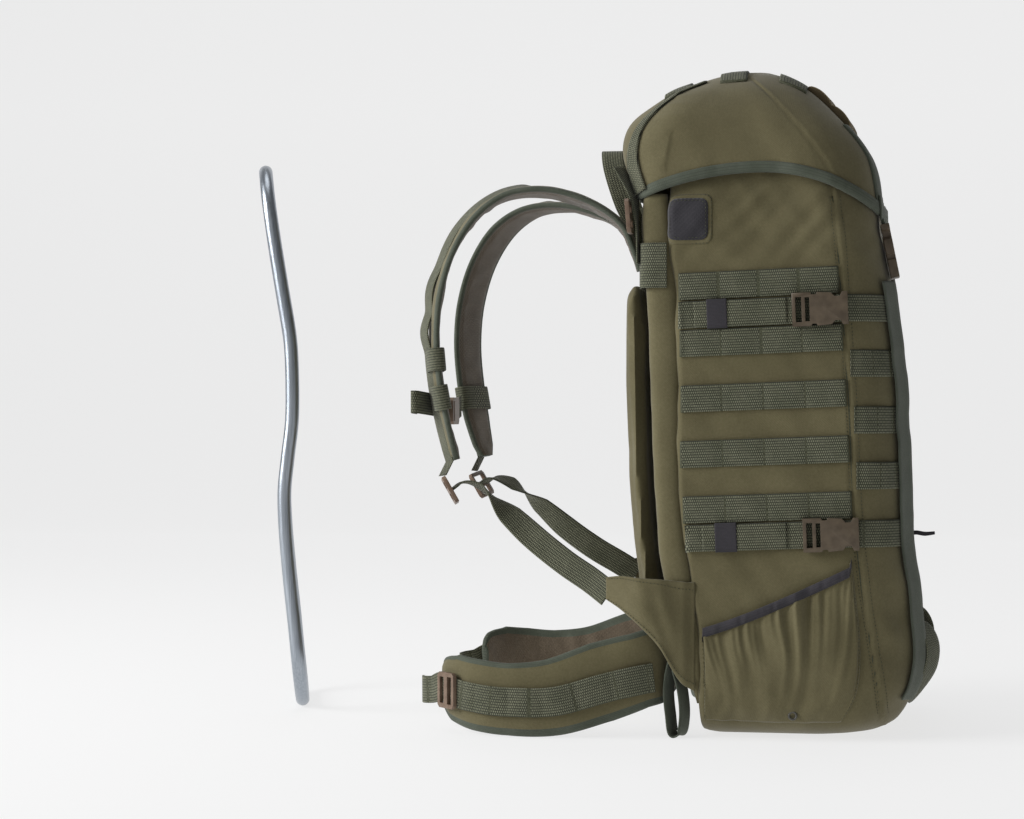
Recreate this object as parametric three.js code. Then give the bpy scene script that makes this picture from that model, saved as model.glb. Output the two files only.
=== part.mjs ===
// External frame backpack: a tall cloth rucksack with its bent tube frame standing beside it.
// Millimetres, +Z up. The wearer faces -X, the wearer's left is -Y, and the bag rests on Z = 0.
import * as THREE from 'three';

// Driving dimensions
const bagHeight = 536;
const bagDepth = 225;
const bagWidth = 300;
const clothWall = 2;
const lidHeight = 629;
const lidRimHeight = 515;
const lidWall = 2.4;
const seatGap = 0.35;
const webWidth = 25;
const webThick = 1.6;
const rowPitch = 51.6;
const topRowHeight = 423.5;
const rowLength = 146;
const rowBulge = 1.1;
const rowTilt = 2.2 * Math.PI / 180;
const strapBelowRow = 26.6;
const backPadWidth = 240;
const backPadThick = 12;
const backPadTop = 427;
const rollWidth = 26;
const rollInset = 1;
const padWidth = 62;
const padThick = 9;
const padSplay = 15 * Math.PI / 180;
const padOffset = 84;
const beltHeight = 70;
const beltThick = 12;
const beltHalfWidth = 158;
const beltReach = 214;
const tubeDiameter = 14;
const frameHeight = 560;
const frameWidth = 210;
const frameCorner = 58;
const framePlace = -517;
const frameAside = 65;
const frameTurn = 14.7 * Math.PI / 180;
const buckleThick = 8;
const sliderThick = 4;

// Finishes
const finish = (color, roughness, metalness = 0) =>
  new THREE.MeshStandardMaterial({ color, roughness, metalness });
const cloth = finish(0x5f5a3c, 0.9);
const lining = finish(0x4e4432, 0.95);
const webbing = finish(0x5a6145, 0.85);
const elastic = finish(0x2c2b30, 0.8);
const plastic = finish(0x6a5340, 0.5);
const metal = finish(0x8d949b, 0.35, 0.9);

const pack = new THREE.Group();

function addPiece(name, geometry, material) {
  const mesh = new THREE.Mesh(geometry, material);
  mesh.name = name;
  pack.add(mesh);
}

// The same piece on the wearer's right, mirrored through the middle plane.
function mirrored(geometry) {
  const copy = geometry.clone();
  const place = copy.getAttribute('position');
  for (let i = 0; i < place.count; i += 1) place.setY(i, -place.getY(i));
  const index = copy.getIndex().array;
  for (let i = 0; i < index.length; i += 3) {
    const first = index[i];
    index[i] = index[i + 1];
    index[i + 1] = first;
  }
  return copy;
}

function addPair(name, geometry, material) {
  addPiece(`${name}_left`, geometry, material);
  addPiece(`${name}_right`, mirrored(geometry), material);
}

// A closed body from corner points and triangles, turned so that its faces point out.
function body(points, triangles) {
  let volume = 0;
  for (const [a, b, c] of triangles) {
    const [p, q, r] = [points[a], points[b], points[c]];
    volume += p[0] * (q[1] * r[2] - q[2] * r[1]);
    volume += p[1] * (q[2] * r[0] - q[0] * r[2]);
    volume += p[2] * (q[0] * r[1] - q[1] * r[0]);
  }
  const index = triangles.flatMap(([a, b, c]) => (volume < 0 ? [a, c, b] : [a, b, c]));
  const geometry = new THREE.BufferGeometry();
  geometry.setAttribute('position', new THREE.Float32BufferAttribute(points.flat(), 3));
  geometry.setIndex(index);
  return geometry;
}

// A skin over rings of equally many points, capped at both ends or joined end to end.
function loft(rings, joined = false) {
  const sides = rings[0].length;
  const points = rings.flat();
  const triangles = [];
  const spans = joined ? rings.length : rings.length - 1;
  for (let i = 0; i < spans; i += 1) {
    const near = i * sides;
    const far = ((i + 1) % rings.length) * sides;
    for (let j = 0; j < sides; j += 1) {
      const next = (j + 1) % sides;
      triangles.push([near + j, near + next, far + next], [near + j, far + next, far + j]);
    }
  }
  if (!joined) {
    for (const [start, turn] of [[0, 1], [(rings.length - 1) * sides, -1]]) {
      const ring = points.slice(start, start + sides);
      const middle = points.length;
      points.push([0, 1, 2].map((k) => ring.reduce((sum, p) => sum + p[k], 0) / sides));
      for (let j = 0; j < sides; j += 1) {
        const next = start + ((j + 1) % sides);
        triangles.push(turn > 0 ? [middle, next, start + j] : [middle, start + j, next]);
      }
    }
  }
  return body(points, triangles);
}

// Straight-line reading of a table of rows, each row starting with its place.
function readTable(table, place) {
  const last = table.length - 1;
  if (place <= table[0][0]) return table[0];
  if (place >= table[last][0]) return table[last];
  const i = table.findIndex((row) => row[0] > place) - 1;
  const share = (place - table[i][0]) / (table[i + 1][0] - table[i][0]);
  return table[i].map((value, k) => value + share * (table[i + 1][k] - value));
}

// Half of a bag section, from the back middle round the left side to the front middle.
const backSpread = 0.76;
const backEdge = 0.79;
const frontSteps = 4;
const sideStart = 5;
const sideEnd = 6;
const frontMiddle = sideEnd + frontSteps + 1;

function halfRing(row, depth, width, inset) {
  const [, back, front, half, frontRound, backRound, backSwell] = row;
  const xBack = back * depth + inset;
  const xFront = front * depth - inset;
  const reach = half * width - inset;
  const rFront = frontRound * depth;
  const rBack = backRound * depth;
  const edge = Math.min(backEdge * reach, reach - rBack - 1);
  const points = [
    [xBack - backSwell * depth, 0],
    [xBack - backSwell * depth, -backSpread * edge],
    [xBack, -edge],
  ];
  for (let i = 0; i <= 2; i += 1) {
    const angle = (i / 2) * Math.PI / 2;
    points.push([xBack + rBack * (1 - Math.cos(angle)), -reach + rBack * (1 - Math.sin(angle))]);
  }
  for (let i = 0; i <= frontSteps; i += 1) {
    const angle = (i / frontSteps) * Math.PI / 2;
    points.push([xFront - rFront * (1 - Math.sin(angle)), -reach + rFront * (1 - Math.cos(angle))]);
  }
  points.push([xFront + 0.012 * depth, 0]);
  return points;
}

const wholeRing = (half) => [...half, ...half.slice(1, -1).reverse().map(([x, y]) => [x, -y])];

// Bag sections: height, back, front, half width, front corner, back corner, swell of the back.
// Heights are shares of the bag's height, widths of its width and the rest of its depth.
const bagSections = [
  [0.000, -0.262, 0.347, 0.327, 0.200, 0.060, 0.000],
  [0.012, -0.289, 0.444, 0.427, 0.231, 0.040, 0.004],
  [0.037, -0.298, 0.524, 0.480, 0.249, 0.027, 0.013],
  [0.090, -0.298, 0.593, 0.498, 0.258, 0.027, 0.040],
  [0.175, -0.305, 0.609, 0.500, 0.262, 0.027, 0.045],
  [0.270, -0.342, 0.582, 0.500, 0.258, 0.027, 0.045],
  [0.332, -0.363, 0.562, 0.500, 0.253, 0.027, 0.045],
  [0.448, -0.389, 0.553, 0.500, 0.253, 0.027, 0.045],
  [0.600, -0.389, 0.540, 0.500, 0.253, 0.027, 0.045],
  [0.775, -0.396, 0.489, 0.500, 0.253, 0.027, 0.045],
  [0.850, -0.420, 0.453, 0.499, 0.249, 0.027, 0.036],
  [0.935, -0.431, 0.424, 0.495, 0.244, 0.040, 0.018],
  [1.000, -0.422, 0.370, 0.467, 0.240, 0.089, 0.009],
].map(([height, ...rest]) => [height * bagHeight, ...rest]);

const bagHalf = (z, inset = 0) => halfRing(readTable(bagSections, z), bagDepth, bagWidth, inset);
const lift = (ring, z) => ring.map(([x, y]) => [x, y, z]);

function bagBody() {
  const heights = bagSections.map((row) => row[0]);
  const outer = heights.map((z) => lift(wholeRing(bagHalf(z)), z));
  const inner = heights.slice(0, -1).map((z) => lift(wholeRing(bagHalf(z, clothWall)), z + clothWall));
  const rim = lift(wholeRing(bagHalf(bagHeight, clothWall)), bagHeight);
  return loft([...outer, rim, ...inner.reverse()]);
}

addPiece('bag_body', bagBody(), cloth);

// The point of the bag's left wall at a height and at a place along the half section.
function wallPoint(z, along) {
  const half = bagHalf(z);
  const i = Math.min(Math.floor(along), half.length - 2);
  const share = along - i;
  return [
    half[i][0] + share * (half[i + 1][0] - half[i][0]),
    half[i][1] + share * (half[i + 1][1] - half[i][1]),
    z,
  ];
}

function wallNormal(z, along) {
  const near = new THREE.Vector3(...wallPoint(z, Math.max(along - 0.3, 0)));
  const far = new THREE.Vector3(...wallPoint(z, Math.min(along + 0.3, frontMiddle)));
  const low = new THREE.Vector3(...wallPoint(z - 4, along));
  const high = new THREE.Vector3(...wallPoint(z + 4, along));
  return far.sub(near).cross(high.sub(low)).normalize();
}

// Where a distance in X falls on the flat side of the bag.
function alongSide(x, z) {
  const half = bagHalf(z);
  return sideStart + (x - half[sideStart][0]) / (half[sideEnd][0] - half[sideStart][0]);
}

// A patch that lies on the wall: a grid of places with its inner and outer distance from it.
function wallPatch(grid) {
  const rows = grid.length;
  const columns = grid[0].length;
  const points = [];
  for (const layer of ['inner', 'outer']) {
    for (const row of grid) {
      for (const cell of row) {
        const normal = wallNormal(cell.z, cell.along);
        const base = wallPoint(cell.z, cell.along);
        points.push(base.map((value, k) => value + normal.getComponent(k) * cell[layer]));
      }
    }
  }
  const at = (layer, i, j) => layer * rows * columns + i * columns + j;
  const triangles = [];
  for (let i = 0; i < rows - 1; i += 1) {
    for (let j = 0; j < columns - 1; j += 1) {
      for (const [layer, flip] of [[0, false], [1, true]]) {
        const [a, b, c, d] = [at(layer, i, j), at(layer, i, j + 1), at(layer, i + 1, j + 1), at(layer, i + 1, j)];
        triangles.push(flip ? [a, c, b] : [a, b, c], flip ? [a, d, c] : [a, c, d]);
      }
    }
  }
  const edge = [];
  for (let j = 0; j < columns - 1; j += 1) edge.push([0, j]);
  for (let i = 0; i < rows - 1; i += 1) edge.push([i, columns - 1]);
  for (let j = columns - 1; j > 0; j -= 1) edge.push([rows - 1, j]);
  for (let i = rows - 1; i > 0; i -= 1) edge.push([i, 0]);
  edge.forEach(([i, j], k) => {
    const [m, n] = edge[(k + 1) % edge.length];
    triangles.push([at(0, i, j), at(1, i, j), at(1, m, n)], [at(0, i, j), at(1, m, n), at(0, m, n)]);
  });
  return body(points, triangles);
}

// The lid: a domed hood over the bag's mouth, open below, its hem arched along each side.
// Columns as in the bag's sections, with heights as shares of the dome from its rim to its top.
const lidSections = [
  [0.000, -0.560, 0.458, 0.508, 0.262, 0.133, 0.000],
  [0.196, -0.622, 0.409, 0.510, 0.262, 0.178, 0.000],
  [0.366, -0.631, 0.358, 0.505, 0.253, 0.200, 0.000],
  [0.541, -0.600, 0.293, 0.490, 0.240, 0.222, 0.000],
  [0.716, -0.511, 0.218, 0.457, 0.222, 0.222, 0.000],
  [0.850, -0.404, 0.138, 0.410, 0.182, 0.178, 0.000],
  [0.950, -0.278, 0.051, 0.340, 0.120, 0.120, 0.000],
  [1.000, -0.190, -0.010, 0.270, 0.070, 0.070, 0.000],
].map(([share, ...rest]) => [lidRimHeight + share * (lidHeight - lidRimHeight), ...rest]);

const hemArch = 12;
const hemDropBack = 18;
const hemDropFront = 31;
const hemMiddle = -10;
const hemSpan = 100;

function hemHeight(x) {
  const share = (x - hemMiddle) / hemSpan;
  return lidRimHeight + hemArch - (share < 0 ? hemDropBack : hemDropFront) * Math.min(share * share, 1.2);
}

const lidRing = (z, inset) => wholeRing(halfRing(readTable(lidSections, z), bagDepth, bagWidth, inset));

function lidHood() {
  const heights = lidSections.slice(1).map((row) => row[0]);
  const hem = (inset) => lidRing(lidRimHeight, inset).map(([x, y]) => [x, y, hemHeight(x)]);
  const outer = heights.map((z) => lift(lidRing(z, 0), z));
  const inner = heights.map((z) => lift(lidRing(z, lidWall), z - lidWall));
  return loft([...outer.reverse(), hem(0), hem(lidWall), ...inner]);
}

addPiece('lid', lidHood(), cloth);

// A bar of eight-sided section through stations: middle, width and thickness directions and sizes.
function section({ at, wide, thick, width, depth }, rounding) {
  const corners = [
    [1, 1 - rounding[1]], [1 - rounding[0], 1], [-1 + rounding[0], 1], [-1, 1 - rounding[1]],
    [-1, -1 + rounding[1]], [-1 + rounding[0], -1], [1 - rounding[0], -1], [1, -1 + rounding[1]],
  ];
  return corners.map(([w, t]) => [0, 1, 2].map((k) =>
    at.getComponent(k) + wide.getComponent(k) * w * width / 2 + thick.getComponent(k) * t * depth / 2));
}

function flatSection({ at, wide, thick, width, depth }) {
  return [[1, 1], [-1, 1], [-1, -1], [1, -1]].map(([w, t]) => [0, 1, 2].map((k) =>
    at.getComponent(k) + wide.getComponent(k) * w * width / 2 + thick.getComponent(k) * t * depth / 2));
}

// Stations along a smooth path. Each key is its place, its width direction and its width.
function stations(keys, steps, depth, closed = false) {
  const curve = new THREE.CatmullRomCurve3(keys.map((key) => new THREE.Vector3(...key.at)), closed, 'centripetal');
  const spans = closed ? keys.length : keys.length - 1;
  const list = [];
  for (let i = 0; i <= steps; i += 1) {
    const share = i / steps;
    const place = Math.min(share * spans, spans - 1e-9);
    const key = keys[Math.floor(place)];
    const next = keys[(Math.floor(place) + 1) % keys.length];
    const blend = place - Math.floor(place);
    const along = curve.getTangent(share).normalize();
    const wide = new THREE.Vector3(...key.wide).lerp(new THREE.Vector3(...next.wide), blend);
    wide.addScaledVector(along, -wide.dot(along)).normalize();
    list.push({
      at: curve.getPoint(share),
      wide,
      thick: new THREE.Vector3().crossVectors(along, wide),
      width: key.width + blend * (next.width - key.width),
      depth,
    });
  }
  return list;
}

const strap = (keys, steps, depth = webThick) => loft(stations(keys, steps, depth).map(flatSection));

// Edge rolls: padded tubes of cloth down both back corners, thinner towards the base.
// Columns: height as a share of the bag's height, back face as a share of the bag's depth.
const rollFaces = [
  [0.060, -0.325], [0.110, -0.352], [0.220, -0.421], [0.283, -0.452], [0.350, -0.473],
  [0.532, -0.498], [0.742, -0.515], [0.850, -0.535], [0.925, -0.551],
];

function edgeRoll() {
  const middle = -(bagWidth / 2 - rollInset - rollWidth / 2);
  const [foot, head] = [rollFaces[0][0], rollFaces[rollFaces.length - 1][0]];
  const heights = [...rollFaces, ...bagSections.map(([z]) => [z / bagHeight])].map(([height]) => height);
  const stops = heights.filter((height) => height >= foot && height <= head).sort((a, b) => a - b);
  const rings = stops.filter((height, i) => i === 0 || height - stops[i - 1] > 0.004).map((height) => {
    const face = readTable(rollFaces, height)[1];
    const z = height * bagHeight;
    const front = bagHalf(z)[2][0] - seatGap;
    const back = face * bagDepth;
    return section({
      at: new THREE.Vector3((front + back) / 2, middle, z),
      wide: new THREE.Vector3(0, 1, 0),
      thick: new THREE.Vector3(1, 0, 0),
      width: rollWidth,
      depth: front - back,
    }, [0.5, 0.45]);
  });
  return loft(rings);
}

addPair('edge_roll', edgeRoll(), cloth);

// Back pad: a long cushion hung a hand's breadth clear of the bag, so that the frame slides behind it.
// Columns: height as a share of the pad's top, back face as a share of the bag's depth.
const padFaces = [
  [0.190, -0.529, 0.90], [0.212, -0.529, 0.97], [0.280, -0.542, 1.00], [0.356, -0.556, 1.00],
  [0.440, -0.578, 1.00], [0.565, -0.596, 1.00], [0.780, -0.609, 1.00], [0.932, -0.607, 1.00],
  [0.975, -0.606, 0.97], [1.000, -0.594, 0.88],
];

function backPad() {
  const rings = padFaces.map(([height, face, share]) => section({
    at: new THREE.Vector3(face * bagDepth + backPadThick / 2, 0, height * backPadTop),
    wide: new THREE.Vector3(0, 1, 0),
    thick: new THREE.Vector3(1, 0, 0),
    width: backPadWidth * share,
    depth: backPadThick * (share < 0.95 ? 0.6 : 1),
  }, [0.07, 0.7]));
  return loft(rings);
}

addPiece('back_pad', backPad(), cloth);

// Yoke band: wide webbing from the left side round both rolls, which carries the shoulder pads.
const yokeWidth = 42;
const yokeHeight = 441;
const yokeBack = -0.535 * bagDepth - 2.1;
const yokeSide = bagWidth / 2 + seatGap + 0.9;
const yokeEnd = -97;

function yokeBand() {
  const half = [
    [yokeEnd, -yokeSide], [yokeBack + 10, -yokeSide], [yokeBack + 3, -yokeSide + 3],
    [yokeBack, -yokeSide + 10], [yokeBack, 0],
  ];
  const path = [...half, ...half.slice(0, -1).reverse().map(([x, y]) => [x, -y])];
  const rings = path.map(([x, y], i) => {
    const near = path[Math.max(i - 1, 0)];
    const far = path[Math.min(i + 1, path.length - 1)];
    const along = new THREE.Vector3(far[0] - near[0], far[1] - near[1], 0).normalize();
    return flatSection({
      at: new THREE.Vector3(x, y, yokeHeight),
      wide: new THREE.Vector3(0, 0, 1),
      thick: new THREE.Vector3(along.y, -along.x, 0),
      width: yokeWidth,
      depth: webThick,
    });
  });
  return loft(rings);
}

addPiece('yoke_band', yokeBand(), webbing);

// Shoulder pads: padded arcs from the yoke over the shoulder and down to the sliders.
// Columns: forward reach, height, outward place and width, as shares of the sizes below.
const padReach = 330;
const padHeight = 522;
const padTable = [
  [0.3885, 0.846, 0.80, 0.90], [0.409, 0.882, 0.82, 1.00], [0.445, 0.926, 0.86, 1.00],
  [0.520, 0.962, 0.92, 1.00], [0.620, 0.986, 0.96, 1.00], [0.705, 0.992, 1.00, 1.00],
  [0.795, 0.982, 1.02, 1.00], [0.878, 0.946, 1.05, 1.00], [0.945, 0.882, 1.08, 1.00],
  [0.984, 0.804, 1.10, 1.00], [0.996, 0.724, 1.10, 1.00], [0.986, 0.640, 1.10, 1.00],
  [0.966, 0.570, 1.08, 0.92], [0.945, 0.516, 1.06, 0.70], [0.935, 0.494, 1.05, 0.42],
];
const splayed = [-Math.sin(padSplay), Math.cos(padSplay), 0];

function padKeys() {
  return padTable.map(([reach, height, out, share], i) => ({
    at: [-reach * padReach, -out * padOffset, height * padHeight],
    wide: [splayed[0] * Math.min(i / 7, 1), splayed[1], 0],
    width: share * padWidth,
  }));
}

const padStations = stations(padKeys(), 26, padThick);
const shoulderPad = () => loft(padStations.map((place) => section(place, [0.14, 0.6])));

addPair('shoulder_pad', shoulderPad(), lining);

// Webbing sewn along the outer face of each pad, running on to the slider below its tip.
const webOffset = padThick / 2 + webThick / 2 + 2.6 * seatGap;
const sliderAt = [12 - padReach, -90, 243];

// Stations beside those of a padded piece, off its outer face.
const beside = (list, offset) => list.map((place) => ({
  ...place, at: place.at.clone().addScaledVector(place.thick, -offset), width: webWidth, depth: webThick,
}));

function shoulderWebbing() {
  const list = beside(padStations.slice(9), webOffset);
  const tip = list[list.length - 1];
  const end = new THREE.Vector3(sliderAt[0] - 3, sliderAt[1], sliderAt[2] - 0.9);
  return loft([...list, { ...tip, at: end }].map(flatSection));
}

addPair('shoulder_webbing', shoulderWebbing(), webbing);

const flatShape = (corners) => new THREE.Shape(corners.map(([a, b]) => new THREE.Vector2(a, b)));

function slotPath([middle, width, tall]) {
  const [near, far] = [middle - width / 2, middle + width / 2];
  const corners = [[near, -tall / 2], [near, tall / 2], [far, tall / 2], [far, -tall / 2]];
  return new THREE.Path(corners.map(([a, b]) => new THREE.Vector2(a, b)));
}

// A flat plastic ring: an outline with slots, drawn flat and stood up by the matrix that follows.
function plate(length, height, slots, thickness, rounding) {
  const [x, y] = [length / 2, height / 2];
  const outline = flatShape([
    [-x + rounding, -y], [x - rounding, -y], [x, -y + rounding], [x, y - rounding],
    [x - rounding, y], [-x + rounding, y], [-x, y - rounding], [-x, -y + rounding],
  ]);
  for (const slot of slots) outline.holes.push(slotPath(slot));
  const geometry = new THREE.ExtrudeGeometry(outline, { depth: thickness, bevelEnabled: false });
  geometry.translate(0, 0, -thickness / 2);
  return geometry;
}

// Joins equal corners, so that a plate can be mirrored and moved as one skin.
function welded(geometry) {
  const place = geometry.getAttribute('position');
  const seen = new Map();
  const points = [];
  const index = [];
  for (let i = 0; i < place.count; i += 1) {
    const point = [place.getX(i), place.getY(i), place.getZ(i)];
    const key = point.map((value) => Math.round(value * 1e4)).join();
    if (!seen.has(key)) {
      seen.set(key, points.length);
      points.push(point);
    }
    index.push(seen.get(key));
  }
  const triangles = [];
  for (let i = 0; i < index.length; i += 3) triangles.push(index.slice(i, i + 3));
  return body(points, triangles.filter(([a, b, c]) => a !== b && b !== c && c !== a));
}

function placed(geometry, at, long, tall) {
  const x = new THREE.Vector3(...long).normalize();
  const y = new THREE.Vector3(...tall);
  y.addScaledVector(x, -y.dot(x)).normalize();
  const matrix = new THREE.Matrix4().makeBasis(x, y, new THREE.Vector3().crossVectors(x, y));
  matrix.setPosition(new THREE.Vector3(...at));
  return welded(geometry).applyMatrix4(matrix);
}

// Sliders: flat frames with two slots and a middle bar, at the pads' tips, the lid and the belt.
const sliderWide = 34;
const sliderLong = 28;
const slotTall = 26;
const slider = () => plate(sliderLong, sliderWide, [[-6.5, 7, slotTall], [6.5, 7, slotTall - 1]], sliderThick, 3);

addPair('shoulder_slider',
  placed(slider(), [sliderAt[0] + 4.5, sliderAt[1], sliderAt[2] - 15], [0.5, 0, -0.866], splayed), plastic);

// Lower straps: webbing from each slider, turning on edge on its way down to the wing's tip.
const lowerStrapTable = [
  { at: [sliderAt[0] + 6.7, -89.4, 229.3], wide: splayed },
  { at: [sliderAt[0] + 16, -87.4, 234.8], wide: splayed },
  { at: [-280, -92, 229], wide: [-0.2, 0.9, -0.3] },
  { at: [-252, -103, 205], wide: [0.2, 0.6, 0.7] },
  { at: [-227, -109, 183], wide: [0.5, 0.2, 0.8] },
  { at: [-196, -116, 160], wide: [0.55, 0, 0.8] },
  { at: [-172, -123.5, 145], wide: [0.55, 0, 0.83] },
  { at: [-153.4, -133.6, 132.5], wide: [0.55, 0, 0.83] },
];
const lowerStrap = () => strap(lowerStrapTable.map((key) => ({ ...key, width: webWidth })), 20);

addPair('lower_strap', lowerStrap(), webbing);

// Wings: cloth triangles sewn into the side seams, each ending in a tip that holds the lower strap.
// Columns: place from the seam, bottom and top, outward place. Lengths are shares of the wing's own.
const wingLength = 92;
const wingTop = 151;
const wingThick = 2.4;
const wingSide = bagWidth / 2 + seatGap + wingThick / 2;
const wingTable = [
  [0.00, 0.29, 0.965, 1.000], [0.16, 0.36, 0.972, 1.003], [0.35, 0.56, 0.985, 1.032],
  [0.55, 0.69, 0.992, 1.032], [0.76, 0.79, 0.998, 0.960], [0.92, 0.845, 0.985, 0.894],
];
const wingSeam = -71;

function wing() {
  const rings = wingTable.map(([from, low, high, out]) => {
    const x = wingSeam - from * wingLength;
    const y = -out * wingSide;
    const [bottom, top] = [low * wingTop, high * wingTop];
    const half = wingThick / 2;
    return [[x, y - half, bottom], [x, y + half, bottom], [x, y + half, top], [x, y - half, top]];
  });
  return loft(rings);
}

addPair('wing', wing(), cloth);

// Chest strap: keepers round both pads, a webbing strip between them and a small buckle on it.
const chestHeight = 307;
const chestX = 13 - padReach;
const keeperTall = 24;
const keeperOut = padThick / 2 + seatGap + webThick / 2 + webThick + seatGap * 2;

function keeper() {
  const half = padWidth / 2 + seatGap + webThick / 2 + 1;
  const place = new THREE.Vector3(chestX - 5, -padOffset * 1.09, chestHeight + 10);
  const wide = new THREE.Vector3(...splayed);
  const across = new THREE.Vector3(-wide.y, wide.x, 0);
  const lean = new THREE.Vector3(-0.12, 0, 1).normalize();
  const corner = (w, t) => place.clone().addScaledVector(wide, w * half).addScaledVector(across, t);
  const [front, back] = [keeperOut + 1.2, -keeperOut + 1.6];
  const loop = [[-1, back], [-1, front], [1, front], [1, back]];
  const rings = loop.map(([w, t]) => {
    const middle = corner(w, t);
    const out = wide.clone().multiplyScalar(w).addScaledVector(across, t > 0 ? 1 : -1);
    const [near, far] = [-webThick / 2, webThick / 2];
    const point = (o, h) => middle.clone().addScaledVector(out, o).addScaledVector(lean, h).toArray();
    return [
      point(near, -keeperTall / 2), point(far, -keeperTall / 2),
      point(far, keeperTall / 2), point(near, keeperTall / 2),
    ];
  });
  return loft(rings, true);
}

addPair('strap_keeper', keeper(), webbing);

const chestEnd = padOffset * 1.09 - padWidth / 2 * Math.cos(padSplay) - 3.6;
const chestPlace = chestX - 5 - padWidth / 2 * Math.sin(padSplay);
addPiece('chest_strap', strap([
  { at: [chestPlace, -chestEnd, chestHeight + 3], wide: [0, 0, 1], width: 22 },
  { at: [chestPlace + 2, 0, chestHeight - 2], wide: [0, 0, 1], width: 22 },
  { at: [chestPlace, chestEnd, chestHeight + 3], wide: [0, 0, 1], width: 22 },
], 8), webbing);

addPiece('chest_buckle', placed(plate(34, 27, [[-11, 5, 20]], 6, 3),
  [chestPlace + 5.2 + webThick / 2 + seatGap, -18, chestHeight - 1.8], [0, 1, 0], [0, 0, 1]), plastic);

// Haul loop: an arch of webbing over the back, its legs sewn down behind the yoke.
const haulHalf = 26;
const haulTop = 565;
addPiece('haul_loop', strap([
  { at: [yokeBack - 2.2, -haulHalf, yokeHeight + 4], wide: [0, 1, 0] },
  { at: [-134, -haulHalf, 478], wide: [0.5, 0.7, 0] },
  { at: [-149, -haulHalf - 2, 512], wide: [1, 0.1, 0] },
  { at: [-160, -haulHalf + 2, 546], wide: [1, 0, 0] },
  { at: [-163, -haulHalf / 2, haulTop - 3], wide: [1, 0, 0] },
  { at: [-163, haulHalf / 2, haulTop - 3], wide: [1, 0, 0] },
  { at: [-160, haulHalf - 2, 546], wide: [1, 0, 0] },
  { at: [-149, haulHalf + 2, 512], wide: [1, -0.1, 0] },
  { at: [-134, haulHalf, 478], wide: [0.5, -0.7, 0] },
  { at: [yokeBack - 2.2, haulHalf, yokeHeight + 4], wide: [0, -1, 0] },
].map((key) => ({ ...key, width: 22 })), 30), webbing);

// Lid straps: webbing from each back corner of the lid down through a slider to the yoke.
const lidStrapY = -138;
const lidStrapX = yokeBack - 2.4;
addPair('lid_strap', strap([
  { at: [lidStrapX, lidStrapY, yokeHeight + 2], wide: [0, 1, 0], width: 20 },
  { at: [lidStrapX - 1, lidStrapY, 478], wide: [0, 1, 0], width: 20 },
  { at: [lidStrapX - 4.4, lidStrapY + 3, 505], wide: [0.3, 1, 0], width: 20 },
  { at: [lidStrapX - 18.6, lidStrapY + 7, 535], wide: [0.5, 1, 0], width: 20 },
], 8), webbing);
addPair('lid_slider', placed(plate(32, 28, [[-7, 7, 20], [7, 7, 19]], sliderThick, 3),
  [lidStrapX - 8.8, lidStrapY + 1, 488], [-0.08, 0, 1], [0, 1, 0]), plastic);

// Hip belt: one padded strip behind the back pad, wrapped forward to a rounded tip on each side.
// Columns: forward place and outward place, then bottom and top edge, each a share of its size.
const beltBack = padFaces[1][1] * bagDepth + backPadThick + beltThick / 2 + 3 * seatGap;
const beltTable = [
  [0.000, 0.000, 0.45, 1.50], [0.000, 0.500, 0.45, 1.50], [0.005, 0.740, 0.45, 1.50],
  [0.030, 0.850, 0.43, 1.48], [0.110, 0.925, 0.38, 1.40], [0.270, 0.965, 0.20, 1.28], [0.480, 1.000, 0.02, 1.05],
  [0.680, 1.000, 0.01, 0.98], [0.830, 0.950, 0.05, 1.02], [0.930, 0.850, 0.13, 1.06],
  [0.985, 0.750, 0.30, 1.00], [1.000, 0.700, 0.45, 0.82],
];

const beltKeys = beltTable.map(([forward, out, low, high]) => ({
  at: [beltBack - forward * beltReach, -out * beltHalfWidth, (low + high) / 2 * beltHeight],
  wide: [0, 0, 1],
  width: (high - low) * beltHeight,
}));

function beltStations() {
  const right = beltKeys.slice(1).map((key) => ({ ...key, at: [key.at[0], -key.at[1], key.at[2]] }));
  return stations([...right.reverse(), ...beltKeys], 44, beltThick);
}

const hipBelt = () => loft(beltStations().map((place) => section(place, [0.1, 0.6])));

addPiece('hip_belt', hipBelt(), cloth);

// Belt webbing: sewn to the outer face, through the slider at the tip and back in a short tail.
const beltWebOut = beltThick / 2 + webThick / 2 + 3.4 * seatGap;
const beltSliderAt = [beltBack - beltReach + 7.2, -beltHalfWidth + 15.3, 40];

function beltWebbing() {
  const list = beside(beltStations().slice(29, -3), beltWebOut).map((place, i) => {
    place.at.z -= 7 * Math.max(0, 1 - i / 6) + 1.5;
    return { ...place, wide: new THREE.Vector3(0, 0, 1) };
  });
  const tail = [[-17.2, 22.7, -2], [-27.2, 32.7, -3.5], [-30.2, 41.7, -4]].map((step) => ({
    ...list[list.length - 1], at: new THREE.Vector3(...beltSliderAt).add(new THREE.Vector3(...step)),
  }));
  return loft([...list, ...tail].map(flatSection));
}

addPair('belt_webbing', beltWebbing(), webbing);
addPair('belt_slider', placed(slider(), beltSliderAt, [-0.68, 0.733, 0], [0, 0, 1]), plastic);

// Base loops: cloth tape hanging in a loop at each back corner of the base.
const baseLoopY = -139;
const baseLoopWidth = 19;
addPair('base_loop', strap([
  [-87, 83.5], [-93, 68], [-96.3, 46], [-94.6, 22], [-91, 3], [-85, 3], [-81.5, 18], [-83, 42], [-88.5, 64],
].map(([x, z]) => ({ at: [x, baseLoopY, z], wide: [0, 1, 0], width: baseLoopWidth })), 20), webbing);

// Side webbing: rows stitched across at even steps, standing a little proud between the stitches.
const rowStart = -86;
const rowCells = 4;

function tilted(x, middle) {
  return middle + Math.tan(rowTilt) * (x - rowStart - rowLength / 2);
}

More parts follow.
